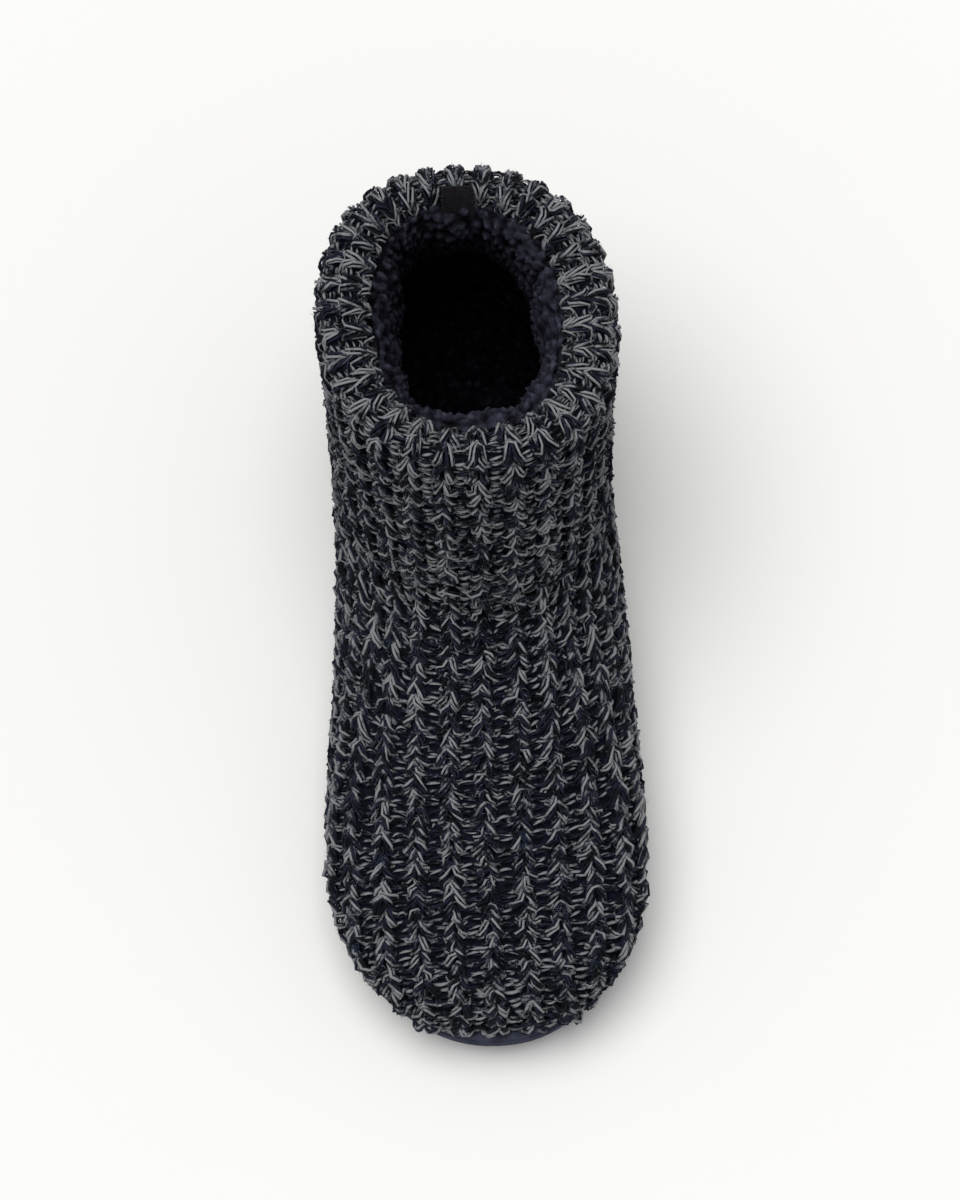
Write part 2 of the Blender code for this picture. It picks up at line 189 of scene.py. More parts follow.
# Closed rings of the shaft: front along, front rise, back along, back height, half width, widest, roundness
SHAFT_SECTIONS = (
    (0.430, 1.00, 0.040, 1.000, 1.000, 0.50, 2.25, 2.25),
    (0.456, 0.76, 0.027, 0.850, 0.980, 0.50, 2.20, 2.20),
    (0.482, 0.47, 0.014, 0.680, 0.970, 0.50, 2.20, 2.20),
    (0.506, 0.20, 0.003, 0.510, 0.965, 0.49, 2.20, 2.20),
    (0.524, 0.02, -0.004, 0.340, 0.965, 0.48, 2.15, 2.20),
    (0.544, -0.045, -0.006, 0.205, 0.970, 0.46, 2.15, 2.25),
)

# Open rings of the foot: top along, top height, low along, half width, widest, top and low roundness
FOOT_SECTIONS = (
    (0.566, 0.895, 0.0095, 0.865, 0.44, 2.15, 2.25),
    (0.574, 0.880, 0.0250, 0.868, 0.43, 2.15, 2.25),
    (0.585, 0.860, 0.0650, 0.872, 0.42, 2.15, 2.25),
    (0.603, 0.828, 0.1500, 0.880, 0.41, 2.15, 2.20),
    (0.630, 0.785, 0.2750, 0.894, 0.41, 2.15, 2.20),
    (0.668, 0.728, 0.4100, 0.922, 0.41, 2.15, 2.20),
    (0.716, 0.672, 0.5500, 0.955, 0.41, 2.15, 2.20),
    (0.772, 0.612, 0.6900, 0.996, 0.41, 2.20, 2.20),
    (0.830, 0.556, 0.7950, 0.992, 0.42, 2.20, 2.20),
    (0.882, 0.496, 0.8680, 0.925, 0.42, 2.20, 2.20),
    (0.922, 0.430, 0.9150, 0.815, 0.42, 2.20, 2.20),
    (0.953, 0.345, 0.9420, 0.680, 0.38, 2.20, 2.20),
    (0.976, 0.205, 0.9550, 0.560, 0.26, 2.20, 2.20),
    (0.990, 0.000, 0.9600, 0.490, 0.02, 2.20, 2.20),
)
CLOSED_SECTIONS = len(SHAFT_SECTIONS)

# Course of one yarn through a stitch: across in wales, down in courses, height over the knit's face in mm
WIDE_STITCH = (
    (-0.38, 0.99, -4.6),
    (-0.32, 0.98, -3.1),
    (-0.25, 0.87, -1.7),
    (-0.16, 0.46, -0.8),
    (-0.08, -0.02, -0.7),
    (0.00, -0.26, -1.7),
)
NARROW_STITCH = (
    (-0.28, 0.96, -4.5),
    (-0.21, 0.93, -3.1),
    (-0.16, 0.82, -1.9),
    (-0.11, 0.46, -1.1),
    (-0.06, 0.04, -1.0),
    (0.00, -0.26, -2.3),
)
TALL_STITCH = (
    (-0.38, 0.98, -4.5),
    (-0.30, 0.96, -3.0),
    (-0.21, 0.86, -1.4),
    (-0.15, 0.48, -0.7),
    (-0.11, 0.08, -0.7),
    (0.00, -0.14, -1.6),
)

# Rows of the collar's roll: start and height in courses, and their stitch
COLLAR_ROWS = (
    (-6.10, 1.10, 1),
    (-5.00, 1.30, 2),
    (-3.70, 1.50, 2),
    (-2.20, 1.55, 2),
    (-0.65, 1.45, 2),
    (0.80, 1.20, 2),
)

# Folds of the upper: wale, course, half widths in wales and courses, height in mm
FOLDS = (
    (0.0, 14.2, 4.2, 1.1, -2.3),
    (0.0, 16.8, 3.4, 1.7, 1.0),
    (-5.6, 12.5, 2.0, 3.0, 0.8),
    (5.4, 13.5, 2.0, 3.0, 0.7),
    (-3.6, 8.0, 2.4, 3.0, -0.7),
    (4.2, 6.0, 2.6, 3.5, -0.6),
)

GRID_STEP = 0.25
RING_SAMPLES = 90
# Distance below which points are merged
WELD = 0.00001
# Roundness of the sole's ends; 2 is an ellipse
HEEL_ROUNDNESS = 2.1
TOE_ROUNDNESS = 2.15
# Middle and reach of the arch and start of the toe's lift below and above, as shares of the length
ARCH_MIDDLE = 0.43
ARCH_REACH = 0.14
SPRING_BELOW = 0.76
SPRING_ABOVE = 0.70
# Ribs of full width from the front centre line, and the width of the foot's other ribs
FRONT_RIBS = 4.0
OUTER_RIB = 0.0108
# How far a rib's end is tucked in under the foot
TUCK = 0.006
# Rise of the knit over the sole's edge with its reach, and at the toe with its courses
EDGE_RISE = 0.0016
EDGE_REACH = 0.010
TOE_RISE = 0.0030
TOE_COURSES = 5.0
# First course of the collar's turned part
TURNED_FROM = -7.0


def smooth(at, stations, values):
    """Values along a smooth curve through the stations (Hermite pieces with Catmull-Rom slopes)."""
    stations = np.asarray(stations, float)
    values = np.asarray(values, float)
    at = np.clip(at, stations[0], stations[-1])
    slopes = np.gradient(values, stations, axis=0)
    left = np.clip(np.searchsorted(stations, at, side="right") - 1, 0, len(stations) - 2)
    span = stations[left + 1] - stations[left]
    part = (at - stations[left]) / span
    if values.ndim == 2:
        span, part = span[:, None], part[:, None]
    square, cube = part**2, part**3
    return (
        (2 * cube - 3 * square + 1) * values[left]
        + (cube - 2 * square + part) * span * slopes[left]
        + (3 * square - 2 * cube) * values[left + 1]
        + (cube - square) * span * slopes[left + 1]
    )


def ease(value, low, high):
    """A smooth step from 0 at low to 1 at high."""
    part = np.clip((value - low) / (high - low), 0.0, 1.0)
    return part * part * (3 - 2 * part)


def unit(vectors):
    """Vectors scaled to length 1."""
    return vectors / (np.linalg.norm(vectors, axis=-1, keepdims=True) + 1e-12)


def run_along(lines):
    """Distance of each point of a line from its start; the last two axes are (point, coordinate)."""
    steps = np.linalg.norm(np.diff(lines, axis=-2), axis=-1)
    return np.concatenate([np.zeros(steps.shape[:-1] + (1,)), np.cumsum(steps, axis=-1)], axis=-1)


def round_end(part, roundness):
    """Half width of a rounded end, from 0 at its tip to 1 where it meets the body."""
    part = np.clip(part, 0.0, 1.0)
    return (1.0 - (1.0 - part) ** roundness) ** (1.0 / roundness)


def last():
    """The shoe's sizes."""
    return bpy.context.scene.slipper_last


def knit():
    """The knit's sizes."""
    return bpy.context.scene.slipper_knit


def soft():
    """The soft parts' sizes."""
    return bpy.context.scene.slipper_soft


def outline_half(along, inset=0.0, toe_inset=None):
    """Half width of the sole's outline at a distance from its back, with the edge taken in by inset."""
    size = last()
    toe_inset = inset if toe_inset is None else toe_inset
    stations = [row[0] * size.sole_length for row in SOLE_STATIONS]
    halves = [getattr(size, row[1]) * row[2] / 2 for row in SOLE_STATIONS]
    body = smooth(along, stations, halves) - inset
    heel = round_end((along - inset) / (size.heel_round - inset), HEEL_ROUNDNESS)
    from_toe = size.sole_length - toe_inset - along
    toe = round_end(from_toe / (size.toe_round - toe_inset), TOE_ROUNDNESS)
    return body * heel * toe


def middle(along):
    """Sideways place of the shoe's middle line."""
    size = last()
    stations = [row[0] * size.sole_length for row in CENTRELINE_STATIONS]
    return smooth(along, stations, [row[1] * size.bow for row in CENTRELINE_STATIONS])


def bottom_height(along):
    """Height of the sole's underside: flat at heel and ball, raised at the arch and the toe."""
    size = last()
    part = np.asarray(along, float) / size.sole_length
    arch = size.arch_rise * np.clip(1.0 - ((part - ARCH_MIDDLE) / ARCH_REACH) ** 2, 0.0, None) ** 2
    return arch + size.toe_spring * np.clip((part - SPRING_BELOW) / (1 - SPRING_BELOW), 0.0, None) ** 2


def top_height(along):
    """Height of the sole's upper face."""
    size = last()
    part = np.asarray(along, float) / size.sole_length
    spring = np.clip((part - SPRING_ABOVE) / (1 - SPRING_ABOVE), 0.0, None) ** 2
    return size.sole_thickness + size.toe_spring * spring


def feather_height(along):
    """Height of the upper's lower edge, just clear of the sole."""
    return top_height(along) + last().seat_gap


def both_sides(along, half, height):
    """Points (sideways, along, height) on the lateral and on the medial side of the middle line."""
    shift = middle(along)
    return [np.stack([shift + side * half, along, height], axis=-1) for side in (1, -1)]


def to_world(points):
    """Points (sideways, along, height) turned and moved into the frame, toe towards -Y."""
    low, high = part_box("sole")
    along = np.linspace(0.0, last().sole_length, 400)
    left_edge = (middle(along) - outline_half(along)).min()
    placed = np.empty_like(points)
    placed[..., 0] = points[..., 0] - left_edge + low[0]
    placed[..., 1] = high[1] - points[..., 1]
    placed[..., 2] = points[..., 2]
    return placed


def section_rows():
    """The rings in metres: top and low points, half width, widest place and roundness."""
    size = last()
    ring_height = size.collar_height - size.collar_roll / 2
    rise = ring_height - size.instep
    rows = []
    for front, up, back, back_up, half, widest, front_round, back_round in SHAFT_SECTIONS:
        rows.append((
            front * size.sole_length, size.instep + up * rise, back * size.sole_length, back_up * ring_height,
            half * size.collar_width / 2, widest, front_round, back_round,
        ))
    for top, up, low, half, widest, top_round, low_round in FOOT_SECTIONS:
        floor = feather_height(top * size.sole_length)
        rows.append((
            top * size.sole_length, floor + up * (size.instep - floor), low * size.sole_length,
            feather_height(low * size.sole_length), half * size.knit_ball / 2, widest, top_round, low_round,
        ))
    return np.array(rows)


def ring_arcs(places):
    """Half rings at fractional table rows, from top to low point: (ring, sample, (along, height, half)).

    Each ring is a superellipse in the plane through its top and low points, wider than high at its widest
    place, and cut at the feather line on the foot.
    """
    table = section_rows()
    rows = smooth(places, np.arange(len(table)), table)
    is_open = places > CLOSED_SECTIONS
    rows[is_open, 3] = feather_height(rows[is_open, 2])
    opening = np.clip((places - CLOSED_SECTIONS) / 0.5, 0.0, 1.0) ** 0.6
    low_half = np.where(is_open, outline_half(rows[:, 2], last().feather_inset) * opening, 0.0)[:, None]
    top_s, top_z, low_s, low_z, half, widest, top_round, low_round = (column[:, None] for column in rows.T)
    half = np.maximum(half, low_half)
    angle = np.linspace(0.0, np.pi / 2, RING_SAMPLES)[None, :]
    upper_share = widest + (1.0 - widest) * np.cos(angle) ** (2 / top_round)
    upper_half = half * np.sin(angle) ** (2 / top_round)
    cut = (1.0 - (low_half / half) ** low_round) ** (1 / low_round)
    down = np.sin(angle)[:, 1:]
    lower_share = widest * (1.0 - down)
    lower_half = half * np.clip(1.0 - (cut * down) ** low_round, 0.0, None) ** (1 / low_round)
    part = np.concatenate([upper_share, lower_share], axis=1)
    width = np.concatenate([upper_half, lower_half], axis=1)
    return np.stack([low_s + part * (top_s - low_s), low_z + part * (top_z - low_z), width], axis=2)


def folds(wales, courses):
    """Height of the listed creases: a sum of soft bumps exp(-x^2 - y^2)."""
    height = np.zeros(np.broadcast(wales, courses).shape)
    for wale, course, wide, tall, depth in FOLDS:
        height += depth * 0.001 * np.exp(-((wales - wale) / wide) ** 2 - ((courses - course) / tall) ** 2)
    return height


def collar_thickness(ring):
    """Thickness of the turned collar round its ring: thin at the back, thicker at the front and sides."""
    size = last()
    share = np.clip(np.abs(ring[:, 0] - middle(ring[:, 1])) / (size.collar_width / 2), 0.0, 1.0) ** 2
    centre = (ring[:, 1].min() + ring[:, 1].max()) / 2
    ends = np.where(ring[:, 1] > centre, size.collar_front, size.collar_roll)
    return ends + (size.collar_side - ends) * share


def turned_collar(ring, thickness, courses):
    """Points of the collar's turned part above its ring: half an ellipse inwards, then straight down."""
    rise = last().collar_roll / 2
    level = np.gradient(ring, axis=0)
    level = unit(np.stack([level[:, 1], -level[:, 0], np.zeros(len(level))], axis=1))
    level *= np.sign(((ring - ring.mean(axis=0)) * level).sum())
    arc_radius = (thickness / 2 + rise) / 2
    reach = -courses[:, None] * knit().course
    turn = np.minimum(reach / arc_radius, np.pi)
    below = np.clip(reach - np.pi * arc_radius, 0.0, None)
    return (
        ring - level * (thickness / 2 * (1 - np.cos(turn)))[..., None]
        + np.array([0, 0, 1.0]) * (rise * np.sin(turn) - below)[..., None]
    )


Skin = namedtuple("Skin", ("courses", "wales", "points", "normals", "room", "thickness"))


@lru_cache(maxsize=1)
def skin():
    """The knit's face as grids over (course, wale): points, normals and room left to the feather line.

    With them go both axes and the thickness of the turned collar at each wale.
    Courses follow the rings, spaced along the front centre line. Wales lie at fixed distances from that
    line round each ring, and on the shaft the outer ones share what is left of the ring. Courses below
    zero turn over the collar's roll.
    """
    yarn = knit()
    table_end = CLOSED_SECTIONS + len(FOOT_SECTIONS) - 1
    fine = np.linspace(0.0, table_end, 500)
    front = ring_arcs(fine)[:, 0, :2]
    run = run_along(front)
    last_course = run[-1] / yarn.course
    courses = np.arange(0.0, last_course, GRID_STEP)
    places = np.interp(courses * yarn.course, run, fine)
    arcs = ring_arcs(places)
    lengths = run_along(arcs)
    total = lengths[:, -1]
    closed = places <= CLOSED_SECTIONS
    outer = (total - FRONT_RIBS * yarn.wale) / (yarn.ribs_half - FRONT_RIBS)
    onto_foot = ease(places, CLOSED_SECTIONS, CLOSED_SECTIONS + 6)
    outer = np.where(closed, outer, outer[closed][-1] + (OUTER_RIB - outer[closed][-1]) * onto_foot)

    wales = np.arange(0.0, yarn.ribs_half + 1 + GRID_STEP / 2, GRID_STEP)
    beyond_front = np.maximum(wales - FRONT_RIBS, 0.0)
    wanted = yarn.wale * np.minimum(wales, FRONT_RIBS)[None] + outer[:, None] * beyond_front
    room = total[:, None] - wanted
    beyond = np.clip(-room, 0.0, None)
    limit = np.where(closed[:, None], 2 * total[:, None] - wanted, total[:, None])
    folded = np.minimum(wanted, limit)
    half_side = np.empty(wanted.shape + (3,))
    for index in range(len(courses)):
        for axis in range(3):
            half_side[index, :, axis] = np.interp(folded[index], lengths[index], arcs[index, :, axis])
    passed = beyond > 0
    half_side[..., 2] = np.where(closed[:, None] & passed, -half_side[..., 2], half_side[..., 2])
    tucked = np.clip(half_side[..., 2] - np.minimum(beyond, TUCK), 0.0, None)
    half_side[..., 2] = np.where(~closed[:, None] & passed, tucked, half_side[..., 2])

    lateral, medial = both_sides(half_side[..., 0], half_side[..., 2], half_side[..., 1])
    round_shoe = np.concatenate([medial[:, :0:-1], lateral], axis=1)
    points = to_world(round_shoe)
    thickness = collar_thickness(round_shoe[0])
    room = np.concatenate([room[:, :0:-1], room], axis=1)
    wales = np.concatenate([-wales[:0:-1], wales])
    room[closed] = 1.0

    roll_courses = np.arange(TURNED_FROM, -GRID_STEP / 2, GRID_STEP)
    roll = turned_collar(points[0], thickness, roll_courses)
    points = np.concatenate([roll, points])
    room = np.concatenate([np.ones((len(roll), len(wales))), room])
    courses = np.concatenate([roll_courses, courses])

    normals = unit(np.cross(np.gradient(points, axis=1), np.gradient(points, axis=0)))
    row = len(roll) + 8
    normals *= np.sign(((points[row] - points[row].mean(axis=0)) * normals[row]).sum())
    edge = EDGE_RISE * (1 - ease(room, 0.0, EDGE_REACH))
    toe = TOE_RISE * ease(courses, courses[-1] - TOE_COURSES, courses[-1])[:, None]
    points = points + normals * (folds(wales[None], courses[:, None]) + edge + toe)[..., None]
    return Skin(courses, wales, points, normals, room, thickness)


def sample(grid, wales, courses):
    """Values of a skin grid between its nodes (bilinear)."""
    course_axis, wale_axis = skin().courses, skin().wales
    row = np.clip((courses - course_axis[0]) / GRID_STEP, 0, len(course_axis) - 1.001)
    column = np.clip((wales - wale_axis[0]) / GRID_STEP, 0, len(wale_axis) - 1.001)
    low_row, low_column = row.astype(int), column.astype(int)
    down, across = row - low_row, column - low_column
    if grid.ndim == 3:
        down, across = down[..., None], across[..., None]
    top = grid[low_row, low_column] * (1 - across) + grid[low_row, low_column + 1] * across
    under = grid[low_row + 1, low_column] * (1 - across) + grid[low_row + 1, low_column + 1] * across
    return top * (1 - down) + under * down


def face_at(wales, courses):
    """Points of the knit's face and its normals, between the grid's nodes."""
    return sample(skin().points, wales, courses), sample(skin().normals, wales, courses)


def on_skin(wales, courses, height):
    """Places at a height over the knit's face."""
    points, normals = face_at(wales, courses)
    return points + unit(normals) * np.asarray(height)[..., None]


def make_object(name, points, faces, material):
    """A mesh piece from arrays of points and faces, riding on the shoe."""
    mesh = bpy.data.meshes.new(name)
    mesh.from_pydata(np.asarray(points, float).reshape(-1, 3), [], np.asarray(faces).tolist())
    mesh.materials.append(material)
    mesh.validate()
    mesh.shade_smooth()
    piece = bpy.data.objects.new(name, mesh)
    bpy.context.scene.collection.objects.link(piece)
    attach(piece, "root")
    return piece


def set_tone(piece, values):
    """Stores one tone a point, for the materials to read; on the yarn and the pile it also carries painted
    light and shade.
    """
    layer = piece.data.attributes.new("tone", "FLOAT", "POINT")
    layer.data.foreach_set("value", np.asarray(values, np.float32))


def grid_faces(rows, columns, closed=False):
    """Quads of a grid of points stored row by row, whose rows may close into rings."""
    column = np.arange(columns if closed else columns - 1)
    start, column = np.meshgrid(np.arange(rows - 1) * columns, column, indexing="ij")
    beside = (column + 1) % columns
    return np.stack([
        start + column, start + beside, start + columns + beside, start + columns + column,
    ], axis=-1).reshape(-1, 4)


def thicken(piece, name, thickness, offset):
    """Gives a sheet its thickness: offset -1 goes inwards and 0 to both sides."""
    wall = piece.modifiers.new(name, "SOLIDIFY")
    wall.thickness = thickness
    wall.offset = offset


def weld(piece):
    """Merges a piece's doubled points and turns its faces outwards."""
    work = bmesh.new()
    work.from_mesh(piece.data)
    bmesh.ops.remove_doubles(work, verts=work.verts, dist=WELD)
    bmesh.ops.dissolve_degenerate(work, edges=work.edges, dist=WELD / 2)
    bmesh.ops.recalc_face_normals(work, faces=work.faces)
    work.to_mesh(piece.data)
    work.free()
    piece.data.shade_smooth()


def cell_noise(x, y, wrap, seed):
    """Distance to the nearest of one random point per unit cell, with x wrapping after wrap cells."""
    rng = np.random.default_rng(seed)
    rows = int(np.ceil(y.max())) + 4
    jitter = rng.random((rows, wrap, 2)) * 0.8 + 0.1
    base_x, base_y = np.floor(x).astype(int), np.floor(y).astype(int)
    nearest = np.full(x.shape, 9.0)
    for dy in (-1, 0, 1):
        for dx in (-1, 0, 1):
            cell_x, cell_y = base_x + dx, np.clip(base_y + dy + 1, 0, rows - 1)
            spot = jitter[cell_y, cell_x % wrap]
            distance = np.hypot(cell_x + spot[..., 0] - x, base_y + dy + spot[..., 1] - y)
            nearest = np.minimum(nearest, distance)
    return nearest


# Materials

FIBRE_RELIEF = 0.0006
YARN_RELIEF = 0.0003


def node(tree, kind, place, **values):
    """A node of a kind at a place in the tree, with its settings and input values."""
    made = tree.nodes.new(kind)
    made.location = (place[0] * 200, place[1] * 160)
    return fill(made, **values)


def fill(made, **values):
    """Sets a node's settings and input values by their names, with _ for a space."""
    for key, value in values.items():
        if hasattr(made, key):
            setattr(made, key, value)
        else:
            made.inputs[key.replace("_", " ")].default_value = value
    return made


def wire(tree, links):
    """Links nodes: a row is a node, its output, the node that it leads to and that node's input."""
    for source, output, target, entry in links:
        tree.links.new(source.outputs[output], target.inputs[entry])


def new_group(name, inputs, outputs):
    """A shader node group with named float, colour or vector sockets."""
    group = bpy.data.node_groups.new(name, "ShaderNodeTree")
    for socket, kind, default in inputs:
        made = group.interface.new_socket(socket, in_out="INPUT", socket_type=kind)
        if default is not None:
            made.default_value = default
    for socket, kind in outputs:
        group.interface.new_socket(socket, in_out="OUTPUT", socket_type=kind)
    return group, node(group, "NodeGroupInput", (-4, 0)), node(group, "NodeGroupOutput", (5, 0))


def two_tone_group():
    """Group: two colours mixed by soft blotches, and a fine height for bump."""
    if "Two tone fibre" in bpy.data.node_groups:
        return bpy.data.node_groups["Two tone fibre"]
    group, start, end = new_group("Two tone fibre", (
        ("Vector", "NodeSocketVector", None),
        ("Colour A", "NodeSocketColor", (0, 0, 0, 1)),
        ("Colour B", "NodeSocketColor", (1, 1, 1, 1)),
        ("Blotch scale", "NodeSocketFloat", 200.0),
        ("Fibre scale", "NodeSocketFloat", 1500.0),
    ), (("Colour", "NodeSocketColor"), ("Height", "NodeSocketFloat")))
    blotch = node(group, "ShaderNodeTexNoise", (-2, 1), Detail=4.0, Roughness=0.6)
    fibre = node(group, "ShaderNodeTexNoise", (-2, -1), Detail=3.0, Roughness=0.7, Distortion=0.6)
    sharpen = node(group, "ShaderNodeMapRange", (0, 1), From_Min=0.35, From_Max=0.65)
    mix = node(group, "ShaderNodeMix", (2, 1), data_type="RGBA")
    total = node(group, "ShaderNodeMath", (2, -1), operation="MULTIPLY_ADD")
    total.inputs[1].default_value = 0.4
    wire(group, (
        (start, "Vector", blotch, "Vector"),
        (start, "Vector", fibre, "Vector"),
        (start, "Blotch scale", blotch, "Scale"),
        (start, "Fibre scale", fibre, "Scale"),
        (blotch, "Fac", sharpen, "Value"),
        (sharpen, "Result", mix, "Factor"),
        (start, "Colour A", mix, 6),
        (start, "Colour B", mix, 7),
        (blotch, "Fac", total, 0),
        (fibre, "Fac", total, 2),
        (mix, 2, end, "Colour"),
        (total, 0, end, "Height"),
    ))
    return group


def marl_group():
    """Group: the colour of a ply from its tone, with runs of dark, navy and light fibre along it."""
    if "Marled ply" in bpy.data.node_groups:
        return bpy.data.node_groups["Marled ply"]
    group, start, end = new_group("Marled ply", (
        ("Tone", "NodeSocketFloat", 0.5),
        ("Vector", "NodeSocketVector", None),
        ("Light", "NodeSocketColor", (1, 1, 1, 1)),
        ("Dark", "NodeSocketColor", (0, 0, 0, 1)),
        ("Navy", "NodeSocketColor", (0, 0, 0.1, 1)),
    ), (("Colour", "NodeSocketColor"), ("Height", "NodeSocketFloat")))
    runs = node(group, "ShaderNodeTexNoise", (-2, 2), Scale=240.0, Detail=2.0, Roughness=0.5)
    fleck = node(group, "ShaderNodeTexNoise", (-2, 0), Scale=900.0, Detail=2.0, Roughness=0.7)
    spread = node(
        group, "ShaderNodeMapRange", (-1, 2), From_Min=0.34, From_Max=0.66, To_Min=-0.34, To_Max=0.34
    )
    grain = node(
        group, "ShaderNodeMapRange", (-1, 0), From_Min=0.3, From_Max=0.7, To_Min=-0.16, To_Max=0.16
    )
    add = node(group, "ShaderNodeMath", (0, 2), operation="ADD")
    add_grain = node(group, "ShaderNodeMath", (1, 2), operation="ADD")
    lift = node(group, "ShaderNodeMapRange", (2, 2), From_Min=0.44, From_Max=0.94)
    under = node(group, "ShaderNodeMapRange", (2, 0), From_Min=0.38, From_Max=0.56)
    base = node(group, "ShaderNodeMix", (3, 0), data_type="RGBA")
    mix = node(group, "ShaderNodeMix", (4, 1), data_type="RGBA")
    wire(group, (
        (start, "Vector", runs, "Vector"),
        (start, "Vector", fleck, "Vector"),
        (runs, "Fac", spread, "Value"),
        (fleck, "Fac", grain, "Value"),
        (start, "Tone", add, 0),
        (spread, "Result", add, 1),
        (add, 0, add_grain, 0),
        (grain, "Result", add_grain, 1),
        (add_grain, 0, lift, "Value"),
        (runs, "Fac", under, "Value"),
        (under, "Result", base, "Factor"),
        (start, "Dark", base, 6),
        (start, "Navy", base, 7),
        (lift, "Result", mix, "Factor"),
        (base, 2, mix, 6),
        (start, "Light", mix, 7),
        (mix, 2, end, "Colour"),
        (fleck, "Fac", end, "Height"),
    ))
    return group


def new_material(name, roughness, sheen=0.0, specular=0.0):
    """A Principled material with constant roughness, sheen and specular, its tree and its shader."""
    made = bpy.data.materials.new(name)
    made.use_nodes = True
    tree = made.node_tree
    shader = tree.nodes["Principled BSDF"]
    fill(shader, Roughness=roughness, Sheen_Weight=sheen, Specular_IOR_Level=specular)
    return made, tree, shader


def add_bump(tree, shader, height, strength, distance):
    """Feeds a node's height through a Bump node to the shader's normal."""
    bump = node(tree, "ShaderNodeBump", (-1, -2), Strength=strength, Distance=distance)
    wire(tree, ((height, "Height", bump, "Height"), (bump, "Normal", shader, "Normal")))


def fibre_material(name, colour_a, colour_b, blotch, fibre, bump, roughness, sheen, painted_hollow_shade=False):
    """A felted or pile material: two close colours in blotches, bump and sheen; where asked, painted shade
    where tone is low and painted light where it is high.
    """
    if name in bpy.data.materials:
        return bpy.data.materials[name]
    made, tree, shader = new_material(name, roughness, sheen)
    place = node(tree, "ShaderNodeTexCoord", (-5, 0))
    group = node(tree, "ShaderNodeGroup", (-3, 0), node_tree=two_tone_group())
    fill(group, Colour_A=(*colour_a, 1.0), Colour_B=(*colour_b, 1.0), Blotch_scale=blotch, Fibre_scale=fibre)
    wire(tree, ((place, "Object", group, "Vector"),))
    if painted_hollow_shade:
        # Painted shade in the hollows and painted light on the crests: the tone scales the colour
        tone = node(tree, "ShaderNodeAttribute", (-3, 2), attribute_name="tone")
        depth = node(
            tree, "ShaderNodeMapRange", (-2, 2), From_Min=0.36, From_Max=0.78, To_Min=0.16, To_Max=1.15
        )
        shade = node(tree, "ShaderNodeVectorMath", (-1, 1), operation="SCALE")
        wire(tree, (
            (tone, "Fac", depth, "Value"),
            (group, "Colour", shade, 0),
            (depth, "Result", shade, "Scale"),
            (shade, "Vector", shader, "Base Color"),
        ))
    else:
        wire(tree, ((group, "Colour", shader, "Base Color"),))
    add_bump(tree, shader, group, bump, FIBRE_RELIEF)
    return made


def yarn_material():
    """The marled yarn: light, dark and navy plies from the tone attribute."""
    if "marled_yarn" in bpy.data.materials:
        return bpy.data.materials["marled_yarn"]
    yarn = knit()
    made, tree, shader = new_material("marled_yarn", 0.92, 0.03, specular=0.03)
    tone = node(tree, "ShaderNodeAttribute", (-5, 1), attribute_name="tone")
    place = node(tree, "ShaderNodeTexCoord", (-5, -1))
    group = node(tree, "ShaderNodeGroup", (-3, 0), node_tree=marl_group())
    fill(group, Light=(*yarn.light, 1.0), Dark=(*yarn.dark, 1.0), Navy=(*yarn.navy, 1.0))
    wire(tree, (
        (tone, "Fac", group, "Tone"),
        (place, "Object", group, "Vector"),
        (group, "Colour", shader, "Base Color"),
    ))
    add_bump(tree, shader, group, 0.5, YARN_RELIEF)
    return made


def darker(tint, factor):
    """A colour times a factor."""
    return tuple(channel * factor for channel in tint)


# Knit

# Random shifts of a stitch's points and of whole stitches: wales, courses, height in mm
POINT_SHIFT = np.array([0.026, 0.070, 0.28])
STITCH_SHIFT = np.array([0.022, 0.060])
# Random shifts of the tones of a ply, a stitch and a bar, and the painted shade (loss of tone) where a ply
# rolls beneath the others in a stitch and in a bar, partly also the blend of its fibres
PLY_SHAKE = 0.26
STITCH_SHAKE = 0.06
BAR_SHAKE = 0.24
STITCH_BENEATH_SHADE = 0.50
BAR_BENEATH_SHADE = 0.35
# Least room to the feather line for a stitch, and depth of the ground on and between the ribs
STITCH_ROOM = 0.0015
GROUND_DEPTH = 0.0030
GROUND_HOLLOW = 0.0012
GROUND_THICKNESS = 0.0005
PLIES = 5
PLY_SIDES = 4
STITCH_STEPS = 10
# Rows of stitches to a course below the collar
ROW_SHARE = 1.10
PLY_TONES = np.array([0.98, 0.82, 0.34, 0.60, 0.12])
# Parts of the knit: name, courses from and to, seed, lift of the tones, height of the bars in mm, their
# spacing in mm, looseness of the stitches, thickness of the plies and twist as factors, and sides
KNIT_PARTS = (
    ("knit_collar", -9.0, 0.8, 11, 0.18, -2.1, 3.0, 0.95, 0.88, 0.70, False),
    ("knit_shaft", 0.8, 8.0, 12, 0.04, -2.5, 2.0, 1.05, 0.88, 0.95, True),
    ("knit_ankle", 8.0, 14.4, 15, 0.04, -2.2, 1.8, 2.00, 0.84, 1.25, True),
    ("knit_instep", 14.4, 20.2, 13, 0.02, -2.5, 2.3, 1.35, 0.96, 1.30, True),
    ("knit_vamp", 20.2, 99.0, 14, 0.00, -2.5, 2.3, 1.40, 0.98, 1.45, True),
)
# Courses and ribs of the tall stitches just below the crease
CREASE_ROWS = (14.4, 16.4)
CREASE_RIBS = 2
# Width of the yarn as a factor in the middle of a stitch, and what its arms have more
YARN_NARROW = 0.84
YARN_ARMS = 0.30
# Thickness of a ply as a factor at the yarn's sides, and what it has more on top
PLY_SIDE = 0.74
PLY_TOP = 0.42
# Bars: random shifts in wales, courses and mm, bow and tilt in courses, dip of the ends in mm, width of
# the yarn as a factor, and loss of thickness at the ends
BAR_SHIFT = (0.03, 0.05, 0.30)
BAR_BOW = 0.07
BAR_TILT = 0.05
BAR_DIP = 1.3
BAR_WIDTH = 0.45
BAR_TAPER = 0.45
BAR_PLIES = 2
BAR_SIDES = 3
BAR_STEPS = 4
BAR_TONES = np.array([0.86, 0.46])
